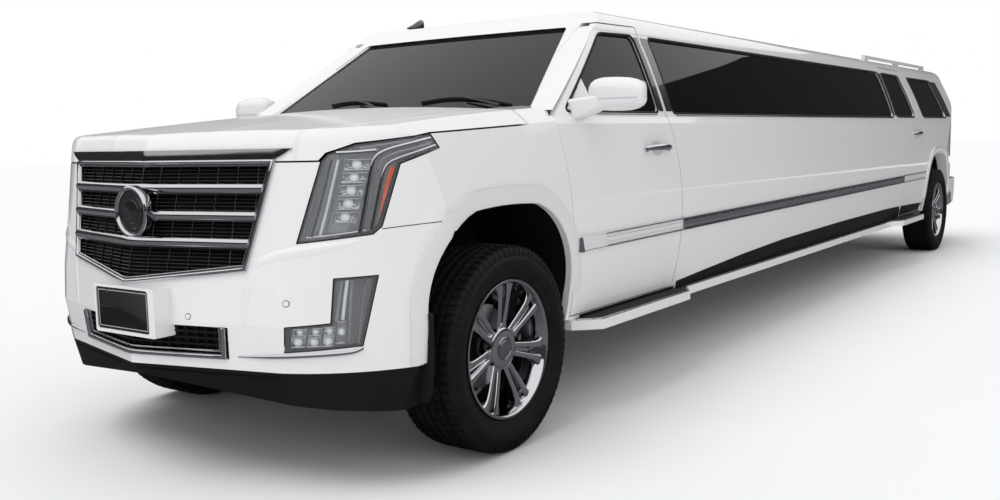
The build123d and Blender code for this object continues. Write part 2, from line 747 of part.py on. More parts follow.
def rim(x, y):
    """Wheel: barrel, flanges, hub disc with stud holes and twin spokes. Its face looks to +X."""
    bead, flange, drop = RIM_BEAD_R - TYRE_SEAT, RIM_FLANGE_R, 236.0
    h = RIM_HALF
    w = FLANGE_W
    barrel = outline(
        (-h, bead - 14),
        ((-h, flange),),
        ((-h + w, flange),),
        ((-h + w, bead),),
        ((h - w, bead),),
        ((h - w, flange),),
        ((h, flange),),
        ((h, flange - 12),),
        ((h - 20, bead - 16),),
        ((h - 70, drop),),
        ((-h + 40, drop),),
    )
    shape = revolve(Plane.XZ * barrel, Axis.X)
    hub = Plane.YZ.offset(HUB_FACE) * Circle(HUB_R + 18)
    shape += extrude(hub, amount=46)
    spoke = extrude(Plane.YZ.offset(HUB_FACE + 24) * Pos(0, 155) * Rectangle(16, 190), amount=34)
    for pair in range(SPOKE_PAIRS):
        for side in (-1, 1):
            shape += Rot(360 * pair / SPOKE_PAIRS + side * 9, 0, 0) * spoke
    shape -= extrude(Plane.YZ.offset(HUB_FACE - 1) * Circle(PILOT_R), amount=31)
    stud = extrude(Plane.YZ.offset(HUB_FACE - 1) * Pos(0, STUD_CIRCLE_R) * Circle(8), amount=60)
    for index in range(STUDS):
        shape -= Rot(360 * index / STUDS, 0, 0) * stud
    return Pos(x, y, TYRE_R) * shape


def turned(shape_maker, side, y):
    """A wheel piece on one side: made for the left and mirrored for the right."""
    shape = shape_maker(TRACK_HALF, y)
    return shape if side > 0 else other_side(shape)


def knuckle():
    """Left steering knuckle: upright on the kingpin, spindle, pilot and brake disc."""
    hub_x = TRACK_HALF + HUB_FACE
    z = TYRE_R
    y = FRONT_AXLE_Y
    shape = rod((KINGPIN_X, y, z - UPRIGHT_DOWN), (KINGPIN_X, y, z + UPRIGHT_UP), 24)
    shape += rod((KINGPIN_X, y, z), (hub_x - 0.3, y, z), 48)
    shape += rod((KINGPIN_X + 40, y, z), (KINGPIN_X + 68, y, z), 165)
    shape += rod((hub_x - 14, y, z), (hub_x - 0.3, y, z), 88)
    shape += rod((hub_x - 1, y, z), (hub_x + 28, y, z), PILOT_R - PILOT_GAP)
    return shape


# ---------------------------------------------------------------- running gear and frame
RAIL_X0, RAIL_X1 = 400.0, 480.0
GEARBOX_END = 1129.7
RAIL_Z0, RAIL_Z1 = 430.0, 540.0
FLOOR_T = 25.0
DOOR_TO_FLOOR = 9.0
KICK_Z = 140.0
END_KICK = 60.0


def rail_outline():
    """Side view of a frame rail with its kick-up over the rear axle."""
    front = [(fa(-800), RAIL_Z0 + END_KICK), (fa(-520), RAIL_Z0 + END_KICK), (fa(-200), RAIL_Z0)]
    rear = [(ra(-760), RAIL_Z0), (ra(-460), RAIL_Z0 + KICK_Z), (ra(420), RAIL_Z0 + KICK_Z)]
    rear += [(ra(620), RAIL_Z0 + END_KICK), (ra(1080), RAIL_Z0 + END_KICK)]
    low = front + rear
    high = [(y, z + RAIL_Z1 - RAIL_Z0) for y, z in reversed(low)]
    return make_face(Polyline(*low, *high, close=True))


def cross_members():
    """Places of the cross-members: evenly spaced between the gearbox and the rear kick-up."""
    first, last = fa(1240), ra(-900)
    count = math.ceil((last - first) / 900.0)
    middle = [first + (last - first) * index / count for index in range(count + 1)]
    return [fa(-640), fa(-120)] + middle + [ra(820)]


def frame_rails():
    shape = along_x(rail_outline(), RAIL_X0, RAIL_X1)
    shape = shape + other_side(shape)
    for y in cross_members():
        z = RAIL_Z0 + (END_KICK if y < fa(-500) or y > ra(600) else 0)
        shape += block(-RAIL_X0 - 1, RAIL_X0 + 1, y - 40, y + 40, z + 20, z + 90)
    return shape


def wheel_house(axle_y, inner_x, limit):
    """Black liner over one left wheel: an arch band and its inner wall."""
    band = along_x(arch_face(axle_y, LINER_OUT), inner_x, FAR)
    band -= along_x(arch_face(axle_y, LINER_IN), inner_x, FAR)
    wall = along_x(arch_face(axle_y, LINER_OUT), inner_x - 8, inner_x)
    shape = (band + wall) & block(0, FAR, axle_y - 700, axle_y + 700, 330, 1100)
    shape -= block(0, inner_x + 1, axle_y - 240, axle_y + 240, 300, 740)
    return shape & limit


def floor_pan():
    step = ra(-790)
    under = [(fa(515), FLOOR_Z), (step, FLOOR_Z), (step + 60, FLOOR_Z + KICK_Z), (ra(1080), FLOOR_Z + KICK_Z)]
    over = [(ra(1080), FLOOR_Z + KICK_Z + FLOOR_T), (step + 45, FLOOR_Z + KICK_Z + FLOOR_T)]
    over += [(step - 15, FLOOR_Z + FLOOR_T), (fa(530), FLOOR_Z + FLOOR_T)]
    bulkhead = [(fa(530), 1262), (fa(340), 1296), (fa(340), 1282), (fa(515), 1248)]
    profile = polygon(under + over + bulkhead)
    pan = along_x(profile, -FAR, FAR) & CELL_INNER
    for y0, y1 in ((fa(480), fa(1560)), (ra(-1545), ra(-530))):
        side = block(0, FAR, y0, y1, 0, 1290) - tube(LOWER_WALL + DOOR_TO_FLOOR, UPPER_WALL)
        pan -= side + other_side(side)
    for side in (-1, 1):
        cut = along_x(arch_face(REAR_AXLE_Y, LINER_OUT + 1), 380, FAR)
        pan -= cut if side > 0 else other_side(cut)
    return pan


def wishbone(inner_z, ball_z, boss_z0, boss_z1, spread):
    """Left A-arm: bushes on the rail, two legs and the ball joint's boss on the kingpin."""
    bush_x = RAIL_X1 + 22 + SEAT
    y = FRONT_AXLE_Y
    shape = rod((KINGPIN_X, y, boss_z0), (KINGPIN_X, y, boss_z1), 24)
    for side in (-1, 1):
        foot = y + side * spread
        shape += rod((bush_x, foot, inner_z), (KINGPIN_X, y, ball_z), 15)
        shape += rod((bush_x, foot - 30, inner_z), (bush_x, foot + 30, inner_z), 22)
    pin_z0, pin_z1 = TYRE_R - UPRIGHT_DOWN - SEAT, TYRE_R + UPRIGHT_UP + SEAT
    return shape - rod((KINGPIN_X, y, pin_z0), (KINGPIN_X, y, pin_z1), 24 + SEAT)


def front_suspension():
    """Wishbones and coil struts of both front wheels."""
    low, high = TYRE_R - UPRIGHT_DOWN - SEAT, TYRE_R + UPRIGHT_UP + SEAT
    lower = wishbone(455, low - 22, low - 44, low, 170)
    upper = wishbone(520, high + 20, high, high + 40, 110)
    foot = (640, FRONT_AXLE_Y, 352)
    strut = rod(foot, (548, FRONT_AXLE_Y, 830), 30)
    strut += rod((640, FRONT_AXLE_Y - 120, 352), (640, FRONT_AXLE_Y + 120, 352), 12)
    strut += block(WHEEL_HOUSE_X + SEAT, 580, FRONT_AXLE_Y - 45, FRONT_AXLE_Y + 45, 810, 860)
    left = [lower + strut, upper]
    return group(*left, *[other_side(arm) for arm in left])


def rear_axle():
    z, y = TYRE_R, REAR_AXLE_Y
    hub_x = TRACK_HALF + HUB_FACE
    shape = rod((-hub_x + 0.3, y, z), (hub_x - 0.3, y, z), 45)
    shape += Pos(0, y, z) * Sphere(150)
    for side in (-1, 1):
        shape += rod((side * (hub_x - 14), y, z), (side * (hub_x - 0.3), y, z), 88)
        shape += rod((side * (hub_x - 1), y, z), (side * (hub_x + 28), y, z), PILOT_R - PILOT_GAP)
        shape += rod((side * (hub_x - 60), y, z), (side * (hub_x - 36), y, z), 165)
        shape += rod((side * 440, y, z), (side * 440, y, RAIL_Z0 + KICK_Z - 0.3), 50)
    shape += rod((0, fa(1130), 405), (0, y, 405), 38)
    return shape


def engine():
    """One plain block for the engine with its gearbox behind."""
    shape = block(-300, 300, fa(-520), fa(300), RAIL_Z0 + 90, 1040)
    return shape + block(-150, 150, fa(299), fa(GEARBOX_END), 350, 536)


def exhaust():
    """Pipe and silencer under the floor, carried on hangers from two cross-members."""
    x, z = -285.0, 360.0
    pipe = rod((x, fa(700), z), (x, ra(-700), z), 32)
    box = along_y(Pos(x, z - 5) * RectangleRounded(230, 130, 50), ra(-1500), ra(-800))
    shape = pipe + box
    for y in (cross_members()[3], cross_members()[-3]):
        shape += rod((x, y, z), (x, y, RAIL_Z0 + 20 - 0.3), 8)
    return shape


# ---------------------------------------------------------------- fittings and cabin
BOARD_POINTS = [(870, 512), (955, 512), (1058, 610), (1058, 1500), (985, 1620)]
BOARD_TOP = 428.0
BOARD_FOOT = 386.0
RAIL_Y0, RAIL_Y1 = -1580.0, 640.0


def running_board():
    """Left running board: wide under the doors and narrow between them."""
    front = [(x, fa(y)) for x, y in BOARD_POINTS]
    back = [(985, ra(-1760)), (1058, ra(-1640)), (1058, ra(-900)), (960, ra(-860)), (870, ra(-860))]
    return along_z(polygon(front + back), BOARD_FOOT, BOARD_TOP) - tube(-SEAT, -SEAT)


def running_boards():
    """Both boards."""
    left = running_board()
    return group(left, other_side(left))


def roof_rails():
    """Raised rails over the tail, following the roof on three feet each."""
    bar = (cell(0, -42) - cell(0, -16)) & block(655, 687, ra(RAIL_Y0), ra(RAIL_Y1), 1700, 2000)
    feet = cell(0, -17) - cell(0, -SEAT)
    for y in (RAIL_Y0, (RAIL_Y0 + RAIL_Y1) / 2 - 50, RAIL_Y1 - 100):
        bar += feet & block(655, 687, ra(y), ra(y + 100), 1700, 2000)
    return group(bar, other_side(bar))


MIRROR_HEAD = (1122, 635, 1394)


def mirror_left():
    """Door mirror: round-edged head on an arm from the door's sail corner."""
    x, y, z = MIRROR_HEAD
    head = fillet(Box(260, 110, 148).edges(), 38)
    shape = Pos(x, fa(y), z) * head
    arm = along_y(polygon([(880, 1262), (1030, 1330), (1030, 1372), (880, 1314)]), fa(605), fa(665))
    return largest((shape + arm) - cell(-SEAT, -SEAT))


def dashboard():
    """Dash across the cabin."""
    top = ((fa(640), 1262), (fa(800), 1210))
    profile = outline((fa(515), 980), ((fa(515), 1240),), top, ((fa(840), 1120),), ((fa(760), 980),))
    shape = along_x(profile, -FAR, FAR) & cell(LOWER_WALL + 8, UPPER_WALL + 8)
    return shape & block(-FAR, FAR, fa(530), fa(900), 900, 1300)


def steering_wheel():
    """Rim, spokes and column of the steering wheel, on the car's left."""
    plane = Plane(origin=(400, fa(960), 1130), x_dir=(1, 0, 0), z_dir=(0, 0.9, 0.42))
    ring = plane * Torus(185, 15)
    boss = extrude(plane * Circle(48), amount=-40)
    shape = ring + boss
    for angle in (0, 180, 270):
        shape += plane * (Rot(0, 0, angle) * (Pos(110, 0, -10) * Box(150, 26, 12)))
    column = extrude(plane.offset(-39) * Circle(26), amount=-200)
    return shape + (column - dashboard())


def seat(x, y):
    """Front seat: cushion, leaning back and head restraint on a plinth."""
    floor_top = FLOOR_Z + FLOOR_T
    profile = outline(
        (y - 40, floor_top),
        ((y - 60, 860),),
        ((y - 90, 925), (y - 20, 960)),
        ((y + 380, 940),),
        ((y + 520, 1440),),
        ((y + 560, 1470), (y + 610, 1440)),
        ((y + 560, floor_top + 120),),
        ((y + 520, floor_top),),
    )
    shape = along_x(profile, x - 260, x + 260)
    return shape + block(x - 130, x + 130, y + 520, y + 620, 1430, 1640)


def front_seats():
    """Driver's and passenger's seats."""
    return group(seat(400, fa(1190)), seat(-400, fa(1190)))


def lounge_seats():
    """Bench along the right side and across the back of the long cabin."""
    floor_top = FLOOR_Z + FLOOR_T
    inner = cell(LOWER_WALL + 12, UPPER_WALL + 12)
    bench = block(-FAR, -400, fa(2250), ra(-1850), floor_top, 980)
    back = block(-FAR, -700, fa(2250), ra(-1850), 979, 1290)
    across = block(-FAR, 700, ra(-150), ra(420), FLOOR_Z + KICK_Z + FLOOR_T, 1060)
    across_back = block(-FAR, 700, ra(290), ra(420), 1059, 1400)
    house = along_x(arch_face(REAR_AXLE_Y, 40), 600, FAR)
    across -= house + other_side(house)
    return group((bench + back) & inner, (across + across_back) & inner)


def build():
    """Every node of the car, by name."""
    nodes = {}
    for name, face, points in DOORS:
        left = door(face, points, DOOR_PANE_R)
        glass = pane(points, DOOR_PANE_R)
        nodes[name + "_left"], nodes[name + "_right"] = left, other_side(left)
        nodes[name + "_glass_left"], nodes[name + "_glass_right"] = glass, other_side(glass)
    side = body_side()
    nodes["body_side_left"], nodes["body_side_right"] = side, other_side(side)
    nodes["roof_panel"] = roof_panel()
    nodes["windscreen"] = windscreen()
    panes = [pane(STRETCH_WINDOW, 40.0), pane(QUARTER_WINDOW, 40.0)]
    nodes["side_glass"] = group(*panes, *[other_side(p) for p in panes])
    left_fender = fender()
    nodes["front_fenders"] = group(left_fender, other_side(left_fender))
    nodes["hood"] = hood()
    nodes["front_bumper"] = bumper()
    nodes["front_valance"] = valance()
    nodes["grille"] = grille()
    nodes["grille_mesh"] = grille_mesh()
    nodes["headlamps"] = lamps(LAMP_POINTS)
    nodes["fog_lamps"] = lamps(FOG_POINTS)
    nodes["cowl_panel"] = cowl_panel()
    nodes["tailgate"] = tailgate()
    nodes["tailgate_glass"] = tailgate_glass()
    nodes["tail_lamps"] = tail_lamps()
    nodes["rear_bumper"] = rear_bumper()
    nodes["frame_rails"] = frame_rails()
    nodes["floor_pan"] = floor_pan()
    front_limit = nose(SKIN + SEAT)
    rear_limit = cell(LOWER_WALL + SEAT, UPPER_WALL)
    houses = [
        wheel_house(FRONT_AXLE_Y, WHEEL_HOUSE_X, front_limit),
        wheel_house(REAR_AXLE_Y, REAR_HOUSE_X, rear_limit),
    ]
    nodes["wheel_houses"] = group(*houses, *[other_side(h) for h in houses])
    nodes["front_suspension"] = front_suspension()
    nodes["rear_axle"] = rear_axle()
    nodes["engine"] = engine()
    nodes["exhaust"] = exhaust()
    nodes["running_boards"] = running_boards()
    nodes["roof_rails"] = roof_rails()
    nodes["dashboard"] = dashboard()
    nodes["steering_wheel"] = steering_wheel()
    nodes["front_seats"] = front_seats()
    nodes["lounge_seats"] = lounge_seats()
    mirror_head = mirror_left()
    nodes["mirror_left"], nodes["mirror_right"] = mirror_head, other_side(mirror_head)
    upright = knuckle()
    nodes["knuckle_left"], nodes["knuckle_right"] = upright, other_side(upright)
    for end, axle_y in (("front", FRONT_AXLE_Y), ("rear", REAR_AXLE_Y)):
        for side, sign in (("left", 1), ("right", -1)):
            nodes[f"tyre_{end}_{side}"] = turned(tyre, sign, axle_y)
            nodes[f"rim_{end}_{side}"] = turned(rim, sign, axle_y)
    return nodes


if __name__ == "__main__":
    os.makedirs("parts", exist_ok=True)
    for name, shape in build().items():
        export_step(shape, f"parts/{name}.step")
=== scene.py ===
"""Studio model of a stretch limousine built round its fixed frame of named pieces.

Metres. The front faces -Y, the car's left side faces +X and the tyres stand on z = 0.
"""
from __future__ import annotations

import logging
import math
from dataclasses import dataclass, field
from enum import Enum
from typing import Iterable, Sequence

import bmesh
import bpy
from mathutils import Matrix, Vector
from mathutils.bvhtree import BVHTree
from mathutils.geometry import delaunay_2d_cdt


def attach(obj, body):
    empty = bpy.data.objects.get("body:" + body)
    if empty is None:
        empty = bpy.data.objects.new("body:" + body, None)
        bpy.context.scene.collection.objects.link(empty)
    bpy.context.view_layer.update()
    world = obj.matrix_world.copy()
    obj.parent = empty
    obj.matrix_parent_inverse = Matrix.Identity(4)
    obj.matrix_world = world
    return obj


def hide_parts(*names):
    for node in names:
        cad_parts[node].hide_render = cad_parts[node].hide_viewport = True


LOG = logging.getLogger("limousine")
FRONT_AXLE_Y = -3.8615
REAR_AXLE_Y = 3.6585
TYRE_R = 0.405
TRACK_HALF = 0.872
HALF_ROOT = math.sqrt(0.5)
MM = 0.001
PLATE_HOLE_X = 0.0889
PLATE_CORNER = 0.012
SENSOR_R = 0.0095
SWELL_FRAMES = 20
FAR = 12.0  # rays start this far outside the car
NEAR = 1.2  # a ray that misses takes the skin nearest to a point this far out

Flat = tuple[float, float]
Flat3 = tuple[float, float, float]
Box = tuple[float, float, float, float]
Faces = list[tuple[int, ...]]


def fa(distance: float) -> float:
    """y of a place that many metres behind the front axle."""
    return FRONT_AXLE_Y + distance


def ra(distance: float) -> float:
    """y of a place that many metres behind the rear axle."""
    return REAR_AXLE_Y + distance


# ---------------------------------------------------------------- shader graphs
class Value:
    """A number socket of a node tree that takes part in Python arithmetic."""

    def __init__(self, graph: "Graph", socket: bpy.types.NodeSocket) -> None:
        self.graph = graph
        self.socket = socket

    def _math(self, operation: str, left: object, right: object) -> "Value":
        """Adds one Math node.

        Args:
            operation: the Math node's operation.
            left: a Value or a number for the first input.
            right: a Value or a number for the second input.

        Returns:
            The node's result.
        """
        node = self.graph.node("ShaderNodeMath", {"operation": operation}, {0: left, 1: right})
        return Value(self.graph, node.outputs[0])

    def __add__(self, other: object) -> "Value":
        """self + other."""
        return self._math("ADD", self, other)

    def __radd__(self, other: object) -> "Value":
        """other + self."""
        return self._math("ADD", other, self)

    def __sub__(self, other: object) -> "Value":
        """self - other."""
        return self._math("SUBTRACT", self, other)

    def __rsub__(self, other: object) -> "Value":
        """other - self."""
        return self._math("SUBTRACT", other, self)

    def __mul__(self, other: object) -> "Value":
        """self * other."""
        return self._math("MULTIPLY", self, other)

    def __rmul__(self, other: object) -> "Value":
        """other * self."""
        return self._math("MULTIPLY", other, self)

    def size(self) -> "Value":
        """self without its sign."""
        return self._math("ABSOLUTE", self, 0.0)

    def least(self, other: object) -> "Value":
        """The smaller of self and other."""
        return self._math("MINIMUM", self, other)

    def __mod__(self, other: object) -> "Value":
        """Remainder of self by other, never negative."""
        return self._math("FLOORED_MODULO", self, other)


class Graph:
    """The node tree of one material."""

    def __init__(self, name: str, world: bool = False) -> None:
        self.material = (bpy.data.worlds if world else bpy.data.materials).new(name)
        self.material.use_nodes = True
        self.tree = self.material.node_tree
        self.tree.nodes.clear()
        self._place: bpy.types.NodeSocket | None = None

    def node(self, kind: str, settings: dict | None = None, sockets: dict | None = None) -> bpy.types.Node:
        """Adds any node.

        Args:
            kind: the node's type name.
            settings: attributes set first; "stops" holds a ramp's (position, grey) pairs.
            sockets: inputs by name or index, each a number, a colour, a Value or a socket.

        Returns:
            The new node.
        """
        made = self.tree.nodes.new(kind)
        for key, setting in (settings or {}).items():
            if key == "stops":
                ramp = made.color_ramp.elements
                for index, (at, grey) in enumerate(setting):
                    stop = ramp[index] if index < len(ramp) else ramp.new(at)
                    stop.position = at
                    stop.color = (grey, grey, grey, 1.0)
            else:
                setattr(made, key, setting)
        for key, given in (sockets or {}).items():
            target = made.inputs[key]
            if isinstance(given, Value):
                self.tree.links.new(given.socket, target)
            elif isinstance(given, bpy.types.NodeSocket):
                self.tree.links.new(given, target)
            else:
                target.default_value = given
        return made

    def place(self) -> bpy.types.NodeSocket:
        """The point on the object, in the object's own metres."""
        if self._place is None:
            self._place = self.node("ShaderNodeTexCoord").outputs["Object"]
        return self._place

    def axes(self) -> tuple[Value, Value, Value]:
        """x, y and z of the point on the object."""
        split = self.node("ShaderNodeSeparateXYZ", sockets={0: self.place()})
        return tuple(Value(self, split.outputs[index]) for index in range(3))

    def noise(self, scale: float, detail: float = 3.0, stretch: Flat3 | None = None) -> Value:
        """Soft noise between 0 and 1.

        Args:
            scale: waves in a metre.
            detail: finer octaves.
            stretch: a scale for each axis, for grain that runs one way.

        Returns:
            The noise.
        """
        at = self.place()
        if stretch:
            at = self.node("ShaderNodeVectorMath", {"operation": "MULTIPLY"}, {0: at, 1: stretch}).outputs[0]
        made = self.node("ShaderNodeTexNoise", sockets={"Vector": at, "Scale": scale, "Detail": detail})
        return Value(self, made.outputs[0])

    def cells(self, scale: float) -> Value:
        """Distance in a pattern of cells."""
        made = self.node("ShaderNodeTexVoronoi", sockets={"Vector": self.place(), "Scale": scale})
        return Value(self, made.outputs[0])

    def ramp(self, value: Value, stops: Sequence[tuple[float, float]]) -> Value:
        """value remapped by grey stops."""
        made = self.node("ShaderNodeValToRGB", {"stops": stops}, {0: value})
        return Value(self, made.outputs[0])

    def blend(self, factor: Value, low: Sequence[float], high: Sequence[float]) -> bpy.types.NodeSocket:
        """A colour between low and high."""
        settings = {"data_type": "RGBA"}
        made = self.node("ShaderNodeMix", settings, {0: factor, 6: (*low, 1.0), 7: (*high, 1.0)})
        return made.outputs[2]

    def bump(self, height: Value, distance: float, strength: float = 1.0) -> bpy.types.NodeSocket:
        """A normal bent by a height in metres of distance."""
        made = self.node(
            "ShaderNodeBump", sockets={"Height": height, "Distance": distance, "Strength": strength},
        )
        return made.outputs[0]

    def surface(self, sockets: dict) -> bpy.types.Material:
        """Ends the tree in one Principled shader with these sockets."""
        shader = self.node("ShaderNodeBsdfPrincipled", sockets=sockets)
        self.node("ShaderNodeOutputMaterial", sockets={0: shader.outputs[0]})
        return self.material


def shade(colour: Sequence[float], factor: float) -> Flat3:
    """colour made lighter or darker."""
    return tuple(min(1.0, part * factor) for part in colour[:3])


@dataclass(frozen=True)
class Finish:
    """A named finish of one main colour."""

    name: str
    colour: Flat3

    def sockets(self, graph: Graph) -> dict:
        """What the shader's sockets take."""
        raise NotImplementedError

    def material(self) -> bpy.types.Material:
        """The finish as a material."""
        graph = Graph(self.name)
        return graph.surface(self.sockets(graph))


@dataclass(frozen=True)
class Paint(Finish):
    """Solid gloss enamel under clear lacquer with a faint orange peel."""

    roughness: float = 0.28

    def sockets(self, graph: Graph) -> dict:
        """What the shader's sockets take."""
        drift = graph.noise(1.3, 2.0)
        peel = graph.noise(420.0, 1.0)
        return {
            "Base Color": graph.blend(drift, shade(self.colour, 0.985), shade(self.colour, 1.01)),
            "Roughness": drift * 0.05 + self.roughness,
            "Coat Weight": 1.0,
            "Coat Roughness": 0.035,
            "Normal": graph.bump(peel, 0.00004, 0.5),
        }


@dataclass(frozen=True)
class CreasedPaint(Finish):
    """Lacquer of the hood, with the raised line that runs back from the grille's corners."""

    def sockets(self, graph: Graph) -> dict:
        """What the shader's sockets take."""
        drift = graph.noise(1.3, 2.0)
        x, y, _ = graph.axes()
        behind = y - FRONT_AXLE_Y
        # Half widths of the raised line and of the soft crown inside it, which open toward the rear.
        line = (behind * 0.29 + 0.858).least(behind * 0.09 + 0.778)
        ridge = graph.ramp(
            (x.size() - line) * 9.0 + 0.5, [(0.0, 0.0), (0.4, 0.75), (0.52, 1.0), (0.66, 0.25), (1.0, 0.0)],
        )
        crown = graph.ramp(
            (x.size() - (behind * 0.06 + 0.33)) * 5.0 + 0.5,
            [(0.0, 0.0), (0.45, 0.5), (0.62, 0.15), (1.0, 0.0)],
        )
        relief = ridge + crown
        return {
            "Base Color": graph.blend(drift, shade(self.colour, 0.985), shade(self.colour, 1.01)),
            "Roughness": drift * 0.05 + 0.28,
            "Coat Weight": 0.35,
            "Coat Roughness": 0.08,
            "Specular IOR Level": 0.2,
            "Normal": graph.bump(relief, 0.01, 0.8),
        }


@dataclass(frozen=True)
class Facets(Finish):
    """Moulded facets behind a lamp's cover, each painted bright in its middle and darker toward its edge as
    painted glints.
    """

    pitch: float = 95.0
    depth: float = 0.004

    def sockets(self, graph: Graph) -> dict:
        """What the shader's sockets take."""
        cell = graph.cells(self.pitch)
        return {
            # Base colour brighter at each facet's middle and darker toward its edge: a painted glint.
            "Base Color": graph.blend(cell, self.colour, shade(self.colour, 0.45)),
            "Roughness": cell * 0.1 + 0.06,
            "Metallic": 1.0,
            "Normal": graph.bump(cell, self.depth, 0.7),
        }


@dataclass(frozen=True)
class Metal(Finish):
    """Plated or brushed metal with small smears and, where asked, a grain."""

    roughness: float = 0.06
    grain: Flat3 | None = None

    def sockets(self, graph: Graph) -> dict:
        """What the shader's sockets take."""
        smear = graph.noise(14.0, 4.0)
        sockets = {
            "Base Color": graph.blend(smear, shade(self.colour, 0.93), self.colour),
            "Roughness": graph.ramp(smear, [(0.35, self.roughness), (0.75, self.roughness + 0.05)]),
            "Metallic": 1.0,
        }
        if self.grain:
            sockets["Normal"] = graph.bump(graph.noise(60.0, 2.0, self.grain), 0.0002, 0.4)
        else:
            sockets["Normal"] = graph.bump(graph.noise(9.0, 1.0), 0.0004, 0.25)
        return sockets


@dataclass(frozen=True)
class Plastic(Finish):
    """Moulded plastic with a pebble grain or a gloss skin."""

    roughness: float = 0.5
    grain: float = 0.00012
    scale: float = 700.0

    def sockets(self, graph: Graph) -> dict:
        """What the shader's sockets take."""
        pebble = graph.cells(self.scale)
        dust = graph.noise(5.0, 4.0)
        return {
            "Base Color": graph.blend(dust, shade(self.colour, 0.85), shade(self.colour, 1.2)),
            "Roughness": dust * 0.12 + self.roughness,
            "Specular IOR Level": 0.3,
            "Normal": graph.bump(pebble, self.grain, 0.6),
        }


@dataclass(frozen=True)
class Rubber(Finish):
    """Tyre or seal rubber, a little dusty where it is rough."""

    colour: Flat3 = (0.007, 0.007, 0.0074)
    roughness: float = 0.5

    def sockets(self, graph: Graph) -> dict:
        """What the shader's sockets take."""
        dust = graph.noise(11.0, 5.0)
        fine = graph.noise(900.0, 2.0)
        return {
            "Base Color": graph.blend(
                graph.ramp(dust, [(0.4, 0.0), (0.8, 0.8)]), self.colour, shade(self.colour, 1.8),
            ),
            "Roughness": dust * 0.15 + self.roughness,
            "Specular IOR Level": 0.22,
            "Normal": graph.bump(fine, 0.00015, 0.5),
        }


@dataclass(frozen=True)
class Glass(Finish):
    """Window glass whose tint shows in its depth and whose face is polished."""

    alpha: float
    roughness: float = 0.015

    def sockets(self, graph: Graph) -> dict:
        """What the shader's sockets take."""
        wipe = graph.noise(3.0, 4.0)
        return {
            "Base Color": graph.blend(wipe, shade(self.colour, 0.85), shade(self.colour, 1.15)),
            "Roughness": graph.ramp(wipe, [(0.4, self.roughness), (0.8, self.roughness + 0.03)]),
            "Alpha": self.alpha,
            "Specular IOR Level": 0.22,
            "Normal": graph.bump(graph.noise(2.2, 1.0), 0.0006, 0.3),
        }


@dataclass(frozen=True)
class Lens(Finish):
    """Lamp part that is lit from within or left clear, with moulded flutes."""

    glow: float = 0.0
    alpha: float = 1.0
    flutes: float = 0.0

    def sockets(self, graph: Graph) -> dict:
        """What the shader's sockets take."""
        haze = graph.noise(40.0, 2.0)
        sockets = {
            "Base Color": graph.blend(haze, shade(self.colour, 0.88), self.colour),
            "Roughness": haze * 0.05 + 0.04,
            "Alpha": self.alpha,
            "Coat Weight": 1.0,
            "Coat Roughness": 0.02,
        }
        if self.glow:
            sockets["Emission Color"] = graph.blend(haze, shade(self.colour, 0.9), self.colour)
            sockets["Emission Strength"] = self.glow
        if self.flutes:
            across = graph.axes()[0] * self.flutes
            sockets["Normal"] = graph.bump(across % 1.0, 0.0012, 0.5)
        return sockets


@dataclass(frozen=True)
class Leather(Finish):
    """Seat leather with a cell grain and faint creases."""

    def sockets(self, graph: Graph) -> dict:
        """What the shader's sockets take."""
        grain = graph.cells(420.0)
        crease = graph.noise(18.0, 5.0)
        height = grain * 0.6 + crease * 0.8
        return {
            "Base Color": graph.blend(crease, shade(self.colour, 0.75), shade(self.colour, 1.3)),
            "Roughness": crease * 0.2 + 0.4,
            "Normal": graph.bump(height, 0.0005, 0.6),
        }


@dataclass(frozen=True)
class Carpet(Finish):
    """Short pile or woven lining."""

    def sockets(self, graph: Graph) -> dict:
        """What the shader's sockets take."""
        pile = graph.noise(650.0, 3.0)
        patch = graph.noise(6.0, 3.0)
        return {
            "Base Color": graph.blend(
                pile * 0.7 + patch * 0.3, shade(self.colour, 0.5), shade(self.colour, 1.4),
            ),
            "Roughness": 0.95,
            "Normal": graph.bump(pile, 0.002, 0.8),
        }


